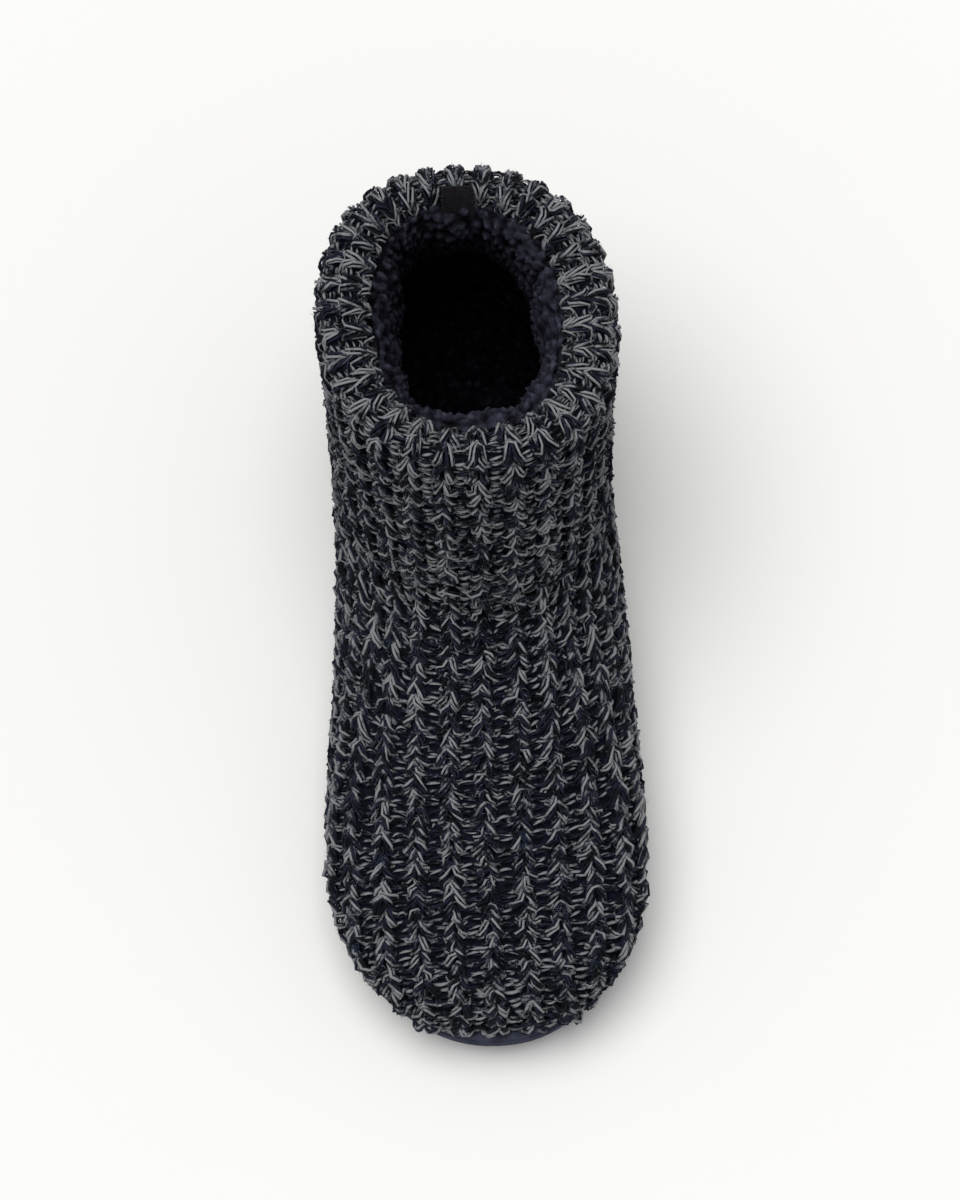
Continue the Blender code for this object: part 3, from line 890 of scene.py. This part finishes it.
# Least and most: twist and ply radius of a stitch, radius and half length (in wales) of a bar, and rise,
# reach and tone of a loose hair
TWIST_RANGE = (0.80, 1.20)
PLY_RANGE = (0.85, 1.15)
BAR_RANGE = (0.95, 1.30)
BAR_REACH = (0.12, 0.25)
HAIR_RISE = (0.15, 0.9)
HAIR_REACH = (0.0008, 0.0022)
HAIR_TONES = (0.25, 1.0)
HAIR_WIDTH = 0.00014
FUZZ_HAIRS = 14000


def stitch_cells():
    """One row per stitch: wale, start course, height in courses and kind, for the whole upper.

    Where rings fan out, a stitch of the lattice is split so that each keeps about the course's height.
    """
    yarn = knit()
    courses, room = skin().courses, skin().room
    rows = list(COLLAR_ROWS)
    first = COLLAR_ROWS[-1][0] + COLLAR_ROWS[-1][1]
    count = int((courses[-1] - first) * ROW_SHARE)
    step = (courses[-1] - first) / count
    rows += [(first + index * step, step, index % 2) for index in range(count)]
    columns = np.arange(1 - yarn.ribs_half, yarn.ribs_half + 1).astype(float)
    cells = []
    for index, (start, tall, kind) in enumerate(rows):
        at = np.full(columns.shape, start)
        top = on_skin(columns, at, 0.0 * at)
        low = on_skin(columns, at + tall, 0.0 * at)
        span = np.linalg.norm(low - top, axis=1) / (tall * yarn.course)
        most = 4 if index >= len(COLLAR_ROWS) else 1
        splits = np.clip(np.rint(span), 1, most).astype(int)
        left = sample(room, columns, at + tall / 2)
        for column, split, space in zip(columns, splits, left):
            if space < STITCH_ROOM:
                continue
            for piece in range(split):
                mixed = kind if split == 1 else (index * split + piece) % 2
                if abs(column) <= CREASE_RIBS and CREASE_ROWS[0] < start < CREASE_ROWS[1]:
                    mixed = 2
                cells.append((column, start + piece * tall / split, tall / split, mixed))
    return np.array(cells)


def stitch_paths(cells, rng, loose=1.0):
    """Yarn centre lines of the stitches, as (wale, course, height), with one extra step at each end."""
    tables = np.array([WIDE_STITCH, NARROW_STITCH, TALL_STITCH])
    mirrored = tables[:, -2::-1] * np.array([-1, 1, 1])
    controls = np.concatenate([tables, mirrored], axis=1)[cells[:, 3].astype(int)]
    controls = controls + rng.normal(size=controls.shape) * POINT_SHIFT * loose
    spots = np.arange(controls.shape[1], dtype=float)
    at = np.linspace(0.0, spots[-1], STITCH_STEPS + 1)
    paths = smooth(at, spots, controls.transpose(1, 0, 2).reshape(len(spots), -1))
    paths = paths.reshape(len(at), len(cells), 3).transpose(1, 0, 2)
    before = 2 * paths[:, :1] - paths[:, 1:2]
    after = 2 * paths[:, -1:] - paths[:, -2:-1]
    paths = np.concatenate([before, paths, after], axis=1)
    paths[..., :2] += rng.normal(size=(len(cells), 1, 2)) * STITCH_SHIFT
    paths[..., 0] += cells[:, None, 0]
    paths[..., 1] = cells[:, None, 1] + cells[:, None, 2] * paths[..., 1]
    return paths


def bar_paths(cells, level, spacing, loose, rng):
    """Centre lines of the short bars between two ribs, behind the stitches, in stitch_paths' form."""
    count = np.maximum(np.rint(cells[:, 2] * knit().course / spacing), 1).astype(int)
    owner = np.repeat(np.arange(len(cells)), count)
    place = np.concatenate([(np.arange(number) + 0.5) / number for number in count])
    aside, along, out = BAR_SHIFT
    wale = cells[owner, 0] + 0.5 + aside * loose * rng.normal(size=len(owner))
    course = cells[owner, 1] + place * cells[owner, 2] + along * loose * rng.normal(size=len(owner))
    across = np.linspace(-1.0, 1.0, BAR_STEPS + 3)[None]
    reach = rng.uniform(*BAR_REACH, (len(owner), 1)) * (BAR_STEPS + 2) / BAR_STEPS
    bow = BAR_BOW * loose * rng.normal(0.4, 1.0, (len(owner), 1))
    tilt = BAR_TILT * loose * rng.normal(size=(len(owner), 1))
    height = level + out * rng.normal(size=(len(owner), 1)) - BAR_DIP * across**2
    return np.stack([
        wale[:, None] + reach * across, course[:, None] + bow * across**2 + tilt * across, height,
    ], axis=2)


def plied_yarn(paths, turn, swell, plies, sides, radius):
    """Plies of a yarn as thin tubes round its centre lines: points, faces and a painted-shade mask of how far
    each ply lies beneath.

    Ply k lies at the turn's angle plus 2 pi k / plies on an ellipse across the yarn, and its tube is a small
    ring in the plane square to the centre line, thicker where the ply lies on top. The last output is
    (1 - sine of the angle) squared, for (line, step, ply, side).
    """
    yarn = knit()
    wale, course = paths[..., 0], paths[..., 1]
    centre = on_skin(wale, course, paths[..., 2] * 0.001)
    normal = sample(skin().normals, wale, course)[:, 1:-1]
    tangent = unit(centre[:, 2:] - centre[:, :-2])
    centre = centre[:, 1:-1]
    across = unit(np.cross(tangent, normal))
    up = np.cross(across, tangent)
    up *= np.sign((up * normal).sum(axis=2, keepdims=True))

    angle = turn[..., None] + 2 * np.pi * np.arange(plies) / plies
    wide = (yarn.yarn_width * swell)[..., None] * np.cos(angle)
    deep = (yarn.yarn_depth * swell)[..., None] * np.sin(angle)
    ply_centre = centre[:, :, None] + across[:, :, None] * wide[..., None] + up[:, :, None] * deep[..., None]
    side = 2 * np.pi * (np.arange(sides) + 0.5) / sides
    thick = (radius * (PLY_SIDE + PLY_TOP * np.sin(angle)))[..., None]
    points = (
        ply_centre[:, :, :, None]
        + (np.cos(side) * thick)[..., None] * across[:, :, None, None]
        + (np.sin(side) * thick)[..., None] * up[:, :, None, None]
    )
    count, steps = turn.shape
    line, step, ply, corner = np.meshgrid(
        np.arange(count), np.arange(steps - 1), np.arange(plies), np.arange(sides), indexing="ij"
    )

    def at(step, corner):
        return ((line * steps + step) * plies + ply) * sides + corner

    following = (corner + 1) % sides
    faces = np.stack([
        at(step, corner), at(step + 1, corner), at(step + 1, following), at(step, following),
    ], axis=-1)
    beneath_shade = np.broadcast_to(((1 - np.clip(np.sin(angle), 0.0, 1.0)) ** 2)[..., None], points.shape[:-1])
    return points.reshape(-1, 3), faces.reshape(-1, 4), beneath_shade


def yarn_mesh(name, cells, seed, lift, bar_height, bar_spacing, loose, thick, twist):
    """The stitches of some cells and the bars behind them, as one piece.

    A ply's tone is its place in the yarn's order of light and dark, shaken for each arm of each stitch, and
    lower where the ply goes beneath (painted shade, partly also the blend of its fibres), so that the light
    plies show as short dashes.
    """
    yarn = knit()
    rng = np.random.default_rng(seed)
    paths = stitch_paths(cells, rng, loose)
    count, steps = len(cells), STITCH_STEPS + 1
    part = np.linspace(0.0, 1.0, steps)
    from_middle = np.abs(part - 0.5)
    turns = twist * yarn.twist * (0.70 + 0.30 * cells[:, 2:3]) * rng.uniform(*TWIST_RANGE, (count, 1))
    starts = rng.random((count, 2))[:, (part > 0.5).astype(int)]
    middle_share = ease(from_middle, 0.0, 0.08)
    starts = starts * middle_share + starts.mean(axis=1, keepdims=True) * (1 - middle_share)
    turn = 2 * np.pi * (starts + turns * from_middle[None])
    swell = np.broadcast_to(YARN_NARROW + YARN_ARMS * ease(from_middle, 0.02, 0.22), turn.shape)
    radius = thick * yarn.ply_radius * rng.uniform(*PLY_RANGE, (count, 1, PLIES))
    points, faces, beneath_shade = plied_yarn(paths, turn, swell, PLIES, PLY_SIDES, radius)
    shaken = PLY_TONES + PLY_SHAKE * rng.normal(size=(count, 2, PLIES))
    shaken = shaken + STITCH_SHAKE * rng.normal(size=(count, 1, 1))
    arm = (np.arange(steps) > steps // 2).astype(int)
    # Painted shade: the tone drops where a ply goes beneath the others
    tones = shaken[:, arm][..., None] + lift - STITCH_BENEATH_SHADE * beneath_shade

    bars = bar_paths(cells, bar_height, bar_spacing * 0.001, loose, rng)
    bar_turn = 2 * np.pi * (rng.random((len(bars), 1)) + 0.4 * np.linspace(0.0, 1.0, BAR_STEPS + 1)[None])
    thin = 1.0 - BAR_TAPER * np.linspace(-1.0, 1.0, BAR_STEPS + 1)[None, :, None] ** 2
    bar_radius = thick * yarn.ply_radius * rng.uniform(*BAR_RANGE, (len(bars), 1, 1)) * thin
    bar_swell = np.full(bar_turn.shape, BAR_WIDTH)
    bar_points, bar_faces, bar_beneath_shade = plied_yarn(
        bars, bar_turn, bar_swell, BAR_PLIES, BAR_SIDES, bar_radius
    )
    bar_tones = BAR_TONES + BAR_SHAKE * rng.normal(size=(len(bars), BAR_PLIES))
    # Painted shade: a bar's tone drops where a ply goes beneath the others
    bar_tones = bar_tones[:, None, :, None] + lift - BAR_BENEATH_SHADE * bar_beneath_shade

    piece = make_object(
        name, np.concatenate([points, bar_points]), np.concatenate([faces, bar_faces + len(points)]),
        yarn_material(),
    )
    set_tone(piece, np.concatenate([tones.reshape(-1), bar_tones.reshape(-1)]))


def fuzz_mesh(cells, count, seed):
    """Fine loose hairs on the stitches: each a curled strip of two lengths that tapers to a point."""
    rng = np.random.default_rng(seed)
    chosen = cells[rng.integers(0, len(cells), count)]
    paths = stitch_paths(chosen, rng)
    step = rng.integers(2, STITCH_STEPS, count)
    spot = paths[np.arange(count), step]
    root = on_skin(spot[:, 0], spot[:, 1], spot[:, 2] * 0.001 + 0.0007)
    normal = sample(skin().normals, spot[:, 0], spot[:, 1])
    loose = rng.normal(size=(count, 3))
    loose = unit(loose - normal * (loose * normal).sum(axis=1, keepdims=True))
    rise = rng.uniform(*HAIR_RISE, (count, 1))
    reach = rng.uniform(*HAIR_REACH, (count, 1))
    bend = np.cross(normal, loose) * rng.normal(0.0, 0.45, (count, 1))
    mid = root + reach * 0.5 * (loose + normal * rise)
    tip = root + reach * (loose + bend + normal * rise * 0.7)
    side = np.cross(normal, loose) * HAIR_WIDTH / 2
    points = np.stack([root - side, root + side, mid - side * 0.8, mid + side * 0.8, tip], axis=1)
    base = 5 * np.arange(count)[:, None]
    faces = np.concatenate([base + [[0, 1, 3]], base + [[0, 3, 2]], base + [[2, 3, 4]]])
    piece = make_object("knit_fuzz", points, faces, yarn_material())
    set_tone(piece, np.repeat(rng.uniform(*HAIR_TONES, count), 5))


def cells_between(cells, low, high, side=0):
    """The stitches whose middle course lies between two courses, on one side if asked."""
    mid = cells[:, 1] + cells[:, 2] / 2
    keep = (mid >= low) & (mid < high)
    if side:
        keep &= (cells[:, 0] * side > 0) | ((cells[:, 0] == 0) & (side > 0))
    return cells[keep]


def backing_mesh():
    """The dark ground behind the stitches: the knit's face sunk by its ribs, low between them, its colours
    the yarn's dark and navy darkened further as painted shade of the recess.
    """
    yarn = knit()
    wales = skin().wales
    keep = np.abs(wales) <= yarn.ribs_half + 1e-6
    wales = wales[keep][::2]
    points, normals = (grid[::2, keep][:, ::2] for grid in (skin().points, skin().normals))
    depth = -GROUND_DEPTH - GROUND_HOLLOW * np.sin(np.pi * wales) ** 2
    placed = points + normals * depth[None, :, None]
    floor = feather_height(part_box("sole")[1][1] - placed[..., 1])
    placed[..., 2] = np.maximum(placed[..., 2], floor)
    # Painted shade: the ground takes the dark and navy plies darkened further, for the recess behind the
    # stitches
    ground = fibre_material(
        "knit_ground_painted_shade", darker(yarn.dark, 0.8), darker(yarn.navy, 0.7), 300.0, 1800.0, 0.6, 0.95, 0.0
    )
    piece = make_object("knit_backing", placed, grid_faces(*placed.shape[:2]), ground)
    weld(piece)
    thicken(piece, "wall", GROUND_THICKNESS, -1.0)
    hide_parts("upper")


class SLIPPER_OT_knit(bpy.types.Operator):
    """Lay the upper's stitches and their ground"""

    bl_idname = "slipper.knit"
    bl_label = "Knit upper"

    def execute(self, context):
        cells = stitch_cells()
        backing_mesh()
        for name, low, high, seed, *look, sided in KNIT_PARTS:
            for side, word in ((-1, "_medial"), (1, "_lateral")) if sided else ((0, ""),):
                yarn_mesh(name + word, cells_between(cells, low, high, side), seed * side + 100, *look)
        fuzz_mesh(cells, FUZZ_HAIRS, 31)
        return {"FINISHED"}


# Lining and insole

LINING_COLUMNS = 300
# The lining's puffed edge: distance in from the turned knit and height over the ring, in mm
LINING_EDGE = (
    (-1.9, -6.0),
    (-1.2, -3.0),
    (0.2, -0.7),
    (2.3, 0.4),
    (4.3, -1.2),
    (5.7, -4.8),
    (6.3, -9.0),
)
LINING_LOW = 0.045
LINING_HIGH = 0.120
LINING_WAVE = 0.0011
# Bump over the pull loop's foot: half width in ribs, depth of the edge and the wall, and rise
TAB_RIBS = 0.9
TAB_EDGE = 0.0042
TAB_WALL = 0.0036
TAB_RISE = 0.0040
# Courses of the lining's wall: first, end and step
WALL_COURSES = (2.4, 15.5, 0.19)
# Heights of the tufts, and the tone at which they cross the lining's plain face
TUFT_HEIGHT = 0.0031
SMALL_TUFT_HEIGHT = 0.0018
TUFT_LEVEL = 0.55
# Share of the large tufts in the pile's tone, and the painted light and shade added to that tone: lighter on
# the lateral side, darker on the medial side and at the back
BIG_TUFTS = 0.65
PAINTED_SIDE_LIGHT = 0.10
PAINTED_BACK_SHADE = 0.07
# Thickness of the lining's sheet, and its least height over the sole
LINING_THICKNESS = 0.0006
LINING_FLOOR = 0.004


def lining_depth(height, roll):
    """Distance from the knit's face to the lining's: full under the collar, thinning towards the foot."""
    size = last()
    return size.knit_wall + (roll - size.knit_wall) * ease(height, LINING_LOW, LINING_HIGH) + soft().pile


def lining_mesh():
    """The pile lining: a puffed edge inside the collar, then the wall's inner side less the pile, with tufts.

    Tufts are domes 1 - distance to the nearest random spot, plus a finer set at half the size. Painted light
    and shade in the tone make the pile lighter on the lateral side and darker at the back.
    """
    yarn, cushion = knit(), soft()
    ring = np.linspace(-yarn.ribs_half, yarn.ribs_half, LINING_COLUMNS, endpoint=False)
    face, level = face_at(ring, np.zeros_like(ring))
    level = unit(level * np.array([1.0, 1.0, 0.0]))
    edge = np.array(LINING_EDGE)
    edge_at = np.linspace(0, len(edge) - 1, 26)
    edge = smooth(edge_at, np.arange(len(edge)), edge) * 0.001
    roll = np.interp(ring, skin().wales, skin().thickness)[:, None]
    round_ring = np.pi * ring[:, None] / yarn.ribs_half
    wave = LINING_WAVE * (
        np.sin(3 * round_ring + 0.6) + 0.7 * np.sin(7 * round_ring + 2.1) + 0.6 * np.sin(12 * round_ring)
    )
    tab = np.exp(-((yarn.ribs_half - np.abs(ring[:, None])) / TAB_RIBS) ** 2)
    rows = [
        face - level * (roll + inward + (wave + TAB_EDGE * tab) * ease(inward, 0.0, 0.004))
        + np.array([0, 0, 1.0]) * (height + TAB_RISE * tab)
        for inward, height in edge
    ]
    for course in np.arange(*WALL_COURSES):
        place, normal = face_at(ring, np.full_like(ring, course))
        blend = ease(course, 3.0, 7.0)
        outward = unit(level * (1 - blend) + normal * blend)
        rows.append(place - outward * (
            lining_depth(place[:, 2:3], roll) + (wave + TAB_WALL * tab) * (1 - ease(course, 3.0, 9.0))
        ))
    grid = np.array(rows)
    down = run_along(grid.transpose(1, 0, 2)).mean(axis=0)
    wrap = int(round(run_along(grid[20])[-1] / cushion.tuft))
    x = np.broadcast_to(np.arange(LINING_COLUMNS) / LINING_COLUMNS * wrap, grid.shape[:2])
    y = np.broadcast_to(down[:, None] / cushion.tuft, grid.shape[:2])
    big = 1.0 - cell_noise(x, y, wrap, 5)
    small = 1.0 - cell_noise(x * 2, y * 2, wrap * 2, 6)
    height = TUFT_HEIGHT * (big - TUFT_LEVEL) + SMALL_TUFT_HEIGHT * (small - TUFT_LEVEL)
    normals = unit(np.cross(
        np.roll(grid, -1, axis=1) - np.roll(grid, 1, axis=1), np.gradient(grid, axis=0)
    ))
    inside = grid[40].mean(axis=0) - grid[40]
    normals *= np.sign((normals[40] * inside).sum())
    grid = grid + normals * height[..., None]
    floor = feather_height(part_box("sole")[1][1] - grid[..., 1])
    grid[..., 2] = np.maximum(grid[..., 2], floor + LINING_FLOOR)
    pile = fibre_material(
        "pile_fibre_painted_shade", darker(cushion.pile_colour, 0.45), darker(cushion.pile_colour, 1.6),
        330.0, 1800.0, 1.0, 0.98, 0.0, painted_hollow_shade=True,
    )
    faces = grid_faces(*grid.shape[:2], closed=True)
    piece = make_object("pile_lining", grid, faces, pile)
    # Painted light and shade: the tone is raised on the lateral side and lowered on the medial side and at
    # the back
    painted_side_and_back_shade = PAINTED_SIDE_LIGHT * np.sin(round_ring[:, 0]) - PAINTED_BACK_SHADE * (1 - np.cos(round_ring[:, 0]))
    set_tone(piece, np.clip(BIG_TUFTS * big + (1 - BIG_TUFTS) * small + painted_side_and_back_shade, 0.0, 1.0).reshape(-1))
    thicken(piece, "backing", LINING_THICKNESS, -1.0)


INSOLE_THICKNESS = 0.006
INSOLE_ROUND = 0.0045
INSOLE_CLEARANCE = 0.0015
INSOLE_TOE_GAP = 0.0035
INSOLE_TUFT = 0.0012
# Tone of the insole's sides, and darkening of its tufts, which lie in shade
SIDE_TONE = 0.3
SHADED = 0.55


def slab_rings(levels, count, toe_gap=0.0):
    """Rings round the sole's outline at several insets and heights; levels are (inset, height of along)."""
    rings = []
    for inset, height in levels:
        end = last().sole_length - inset - toe_gap
        turn = np.linspace(0.0, np.pi, count)
        part = 0.9 * (1 - np.cos(turn)) / 2 + 0.1 * np.linspace(0.0, 1.0, count)
        along = inset + (end - inset) * part
        lateral, medial = both_sides(along, outline_half(along, inset, inset + toe_gap), height(along))
        rings.append(np.concatenate([lateral, medial[1:-1][::-1]]))
    return np.array(rings)


def cap_grid(ring, count, across):
    """Points of a cap spanned between the two sides of an outline ring: (along, across)."""
    lateral = ring[:count]
    medial = np.concatenate([ring[:1], ring[count:][::-1], ring[count - 1:count]])
    part = np.linspace(0.0, 1.0, across)[None, :, None]
    return lateral[:, None] * (1 - part) + medial[:, None] * part


def rounded_edge(inset, radius, face):
    """Levels of a slab's rounded upper edge, which ends at a face's height."""
    levels = []
    for turn in np.pi / 2 * np.arange(6) / 5:
        drop = radius * (1 - np.sin(turn))
        levels.append((inset + radius * (1 - np.cos(turn)), lambda along, drop=drop: face(along) - drop))
    return levels


def slab(levels, count, across, toe_gap=0.0):
    """A slab's rings, the grids of its upper and lower face, and the faces of all three."""
    rings = slab_rings(levels, count, toe_gap)
    top = cap_grid(rings[-1], count, across)
    low = cap_grid(rings[0], count, across)
    side = grid_faces(*rings.shape[:2], closed=True)
    cap = grid_faces(count, across)
    base = rings.shape[0] * rings.shape[1]
    return rings, top, low, np.concatenate([side, cap + base, cap[:, ::-1] + base + count * across])


def insole_mesh():
    """The insole's pile: a slab with a rounded edge and tufted top."""
    cushion, size = soft(), last()
    edge = size.feather_inset + size.knit_wall + INSOLE_CLEARANCE
    levels = [(edge, feather_height)]
    levels += rounded_edge(edge, INSOLE_ROUND, lambda along: feather_height(along) + INSOLE_THICKNESS)
    count, across = 150, 50
    rings, top, low, faces = slab(levels, count, across, INSOLE_TOE_GAP)
    x = (top[..., 0] + 0.2) / cushion.tuft
    y = top[..., 1] / cushion.tuft
    inner = np.sin(np.pi * np.linspace(0, 1, across))[None] ** 0.3
    top_tone = 1.0 - cell_noise(x, y, 400, 9)
    top[..., 2] += INSOLE_TUFT * (top_tone - TUFT_LEVEL) * inner
    points = [rings.reshape(-1, 3), top.reshape(-1, 3), low.reshape(-1, 3)]
    pile = bpy.data.materials["pile_fibre_painted_shade"]
    piece = make_object("pile_insole", to_world(np.concatenate(points)), faces, pile)
    set_tone(piece, np.concatenate([
        np.full(len(points[0]), SIDE_TONE), SHADED * top_tone.reshape(-1), np.full(len(points[2]), SIDE_TONE),
    ]))
    weld(piece)
    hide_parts("insole")


class SLIPPER_OT_lining(bpy.types.Operator):
    """Make the pile lining and the insole"""

    bl_idname = "slipper.lining"
    bl_label = "Lining and insole"

    def execute(self, context):
        lining_mesh()
        insole_mesh()
        return {"FINISHED"}


# Sole and loop

SOLE_LOWER_ROUND = 0.004
SOLE_UPPER_ROUND = 0.0022
# The sole's side wall: share of its height, and inset
SOLE_SIDE = ((0.45, -0.0004), (0.58, -0.0006), (0.72, -0.0005), (0.84, -0.0002))
# The loop's tape: step of its grid, spacing and height of its cross ribs, length of its tilted part, and
# how far its right side lies nearer the heel there
LOOP_STEP = 0.00018
LOOP_RIB = 0.0009
LOOP_RIB_HEIGHT = 0.00009
LOOP_TILTED = 0.009
LOOP_SKEW = 0.0012


def sole_mesh():
    """The sole: an underside, a bound lower edge, a felted side wall with a soft bulge, and a top face."""
    cushion = soft()
    levels = []
    for turn in np.pi / 2 * np.arange(7) / 6:
        inset, lift = SOLE_LOWER_ROUND * (1 - np.sin(turn)), SOLE_LOWER_ROUND * (1 - np.cos(turn))
        levels.append((inset, lambda along, lift=lift: bottom_height(along) + lift))
    for part, bulge in SOLE_SIDE:
        levels.append((
            bulge, lambda along, part=part: bottom_height(along) * (1 - part) + top_height(along) * part,
        ))
    levels += rounded_edge(0.0, SOLE_UPPER_ROUND, top_height)
    *grids, faces = slab(levels, 220, 40)
    points = np.concatenate([grid.reshape(-1, 3) for grid in grids])
    suede = fibre_material(
        "suede_fibre", darker(cushion.suede_colour, 0.72), darker(cushion.suede_colour, 1.3),
        260.0, 1700.0, 0.7, 0.93, 0.05,
    )
    piece = make_object("suede_sole", to_world(points), faces, suede)
    weld(piece)
    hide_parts("sole")


def loop_line():
    """Side view of the folded tape as (along, height): up, over the collar's roll, round and back."""
    size, cushion = last(), soft()
    ring = size.collar_height - size.collar_roll / 2
    centre = SHAFT_SECTIONS[0][2] * size.sole_length + size.collar_roll / 2
    near = size.collar_roll / 2 + cushion.loop_seat + cushion.loop_tape / 2
    far = near + cushion.loop_gap
    lean = np.radians(cushion.loop_lean) * np.linspace(0.0, 1.0, 12)
    up = np.stack([centre + near * np.cos(lean), ring + near * np.sin(lean)], axis=1)
    down = np.stack([centre + far * np.cos(lean), ring + far * np.sin(lean)], axis=1)[::-1]
    fold = np.linspace(0.0, np.pi, 9)[1:-1]
    out = (near + far) / 2 - (far - near) / 2 * np.cos(fold)
    past = (far - near) / 2 * np.sin(fold)
    turn = np.radians(cushion.loop_lean)
    bend = np.stack([
        centre + out * np.cos(turn) - past * np.sin(turn), ring + out * np.sin(turn) + past * np.cos(turn),
    ], axis=1)
    foot = ring - cushion.loop_foot
    return np.concatenate([[[centre + near, foot]], up, bend, down, [[centre + far, foot]]])


def loop_mesh():
    """The pull loop: a doubled tape with fine cross ribs, its left side lifted and its right side sunk."""
    cushion = soft()
    line = loop_line()
    steps = run_along(line)
    run = np.arange(0.0, steps[-1], LOOP_STEP)
    along, height = np.interp(run, steps, line[:, 0]), np.interp(run, steps, line[:, 1])
    slope = unit(np.stack([np.gradient(height), -np.gradient(along)], axis=1))
    rib = LOOP_RIB_HEIGHT * np.sin(2 * np.pi * run / LOOP_RIB)
    along, height = along + rib * slope[:, 0], height + rib * slope[:, 1]
    across = np.linspace(-0.5, 0.5, 13)
    raised = ease(height, height.max() - LOOP_TILTED, height.max())[:, None]
    points = np.stack(np.broadcast_arrays(
        middle(along)[:, None] + cushion.loop_width * across[None] * (1 - 0.08 * raised),
        along[:, None] - LOOP_SKEW * across[None] * raised,
        height[:, None] - cushion.loop_tilt * across[None] * raised,
    ), axis=2)
    tape = fibre_material(
        "tape_weave", cushion.tape_colour, darker(cushion.tape_colour, 1.8), 600.0, 2500.0, 0.5, 0.85, 0.05
    )
    piece = make_object("tape_loop", to_world(points), grid_faces(*points.shape[:2]), tape)
    thicken(piece, "tape", cushion.loop_tape, 0.0)
    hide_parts("pull_loop")


class SLIPPER_OT_sole(bpy.types.Operator):
    """Make the sole and the pull loop"""

    bl_idname = "slipper.sole"
    bl_label = "Sole and loop"

    def execute(self, context):
        sole_mesh()
        loop_mesh()
        return {"FINISHED"}


# Stage

FLOOR_HALF = 4.0
# What the camera looks at: sideways from the box's middle, towards the heel, and up
VIEW_POINT = (0.0012, 0.0033, 0.055)
# Where the key light comes from, and its spread in degrees
KEY_FROM = (-0.18, 0.10, 0.98)
KEY_SPREAD = 50.0


def add_looking(data, direction):
    """Puts a camera or light into the scene so that it looks in a direction."""
    made = bpy.data.objects.new(data.name, data)
    made.rotation_euler = direction.to_track_quat("-Z", "Y").to_euler()
    bpy.context.scene.collection.objects.link(made)
    return made


def add_sun(name, towards, spread, power, tint):
    """A soft, distant light that comes from a direction, with its spread in degrees."""
    data = bpy.data.lights.new(name, "SUN")
    data.angle = np.radians(spread)
    data.energy = power
    data.color = tint
    add_looking(data, -Vector(towards))


class SLIPPER_OT_stage(bpy.types.Operator):
    """Set the camera, the lights and the floor"""

    bl_idname = "slipper.stage"
    bl_label = "Stage"

    def execute(self, context):
        setting = context.scene.slipper_stage
        low, high = (Vector(corner) for corner in CAD_BOX)
        target = Vector(((low.x + high.x) / 2, 0.0, 0.0)) + Vector(VIEW_POINT)
        turn, lift = np.radians(setting.azimuth), np.radians(setting.elevation)
        away = Vector((np.sin(turn) * np.cos(lift), -np.cos(turn) * np.cos(lift), np.sin(lift)))
        data = bpy.data.cameras.new("camera")
        data.lens = setting.lens
        data.sensor_width = 36.0
        data.clip_end = 20.0
        camera = add_looking(data, -away)
        camera.location = target + away * setting.distance
        context.scene.camera = camera

        floor = bpy.data.meshes.new("floor")
        corners = [(-FLOOR_HALF, -FLOOR_HALF, 0), (FLOOR_HALF, -FLOOR_HALF, 0)]
        corners += [(FLOOR_HALF, FLOOR_HALF, 0), (-FLOOR_HALF, FLOOR_HALF, 0)]
        floor.from_pydata(corners, [], [(0, 1, 2, 3)])
        paper, _, shader = new_material("pale_floor", 1.0)
        fill(shader, Base_Color=(*setting.floor, 1.0))
        floor.materials.append(paper)
        ground = bpy.data.objects.new("floor", floor)
        context.scene.collection.objects.link(ground)

        add_sun("key", KEY_FROM, KEY_SPREAD, setting.key, (1.0, 1.0, 0.99))
        world = bpy.data.worlds.new("studio")
        world.use_nodes = True
        tree = world.node_tree
        sky = tree.nodes["Background"]
        fill(sky, Color=(1.0, 1.0, 1.0, 1.0), Strength=setting.sky)
        backdrop = node(
            tree, "ShaderNodeBackground", (0, -1), Color=(1.0, 0.992, 0.976, 1.0), Strength=setting.backdrop
        )
        path = node(tree, "ShaderNodeLightPath", (0, 2))
        mix = node(tree, "ShaderNodeMixShader", (2, 0))
        wire(tree, (
            (path, "Is Camera Ray", mix, 0),
            (sky, "Background", mix, 1),
            (backdrop, "Background", mix, 2),
            (mix, "Shader", tree.nodes["World Output"], "Surface"),
        ))
        context.scene.world = world
        context.scene.view_settings.view_transform = "Standard"
        return {"FINISHED"}


class SLIPPER_PT_panel(bpy.types.Panel):
    """Sizes, colours and steps of the slipper"""

    bl_idname = "SLIPPER_PT_panel"
    bl_label = "Slipper"
    bl_space_type = "VIEW_3D"
    bl_region_type = "UI"
    bl_category = "Slipper"

    def draw(self, context):
        for name in STEPS:
            self.layout.operator(f"slipper.{name}")
        for name, group in SETTINGS:
            box = self.layout.box()
            for key in group.__annotations__:
                box.prop(getattr(context.scene, name), key)


STEPS = ("knit", "lining", "sole", "stage")
SETTINGS = (
    ("slipper_last", LastSizes),
    ("slipper_knit", KnitSizes),
    ("slipper_soft", SoftSizes),
    ("slipper_stage", StageSizes),
)
CLASSES = (
    LastSizes, KnitSizes, SoftSizes, StageSizes,
    SLIPPER_OT_knit, SLIPPER_OT_lining, SLIPPER_OT_sole, SLIPPER_OT_stage, SLIPPER_PT_panel,
)


def register():
    for item in CLASSES:
        bpy.utils.register_class(item)
    for name, group in SETTINGS:
        setattr(bpy.types.Scene, name, PointerProperty(type=group))


def unregister():
    for name, _ in SETTINGS:
        delattr(bpy.types.Scene, name)
    for item in reversed(CLASSES):
        bpy.utils.unregister_class(item)


def main():
    """Registers the add-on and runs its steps."""
    register()
    for name in STEPS:
        getattr(bpy.ops.slipper, name)()


if __name__ == "__main__":
    main()
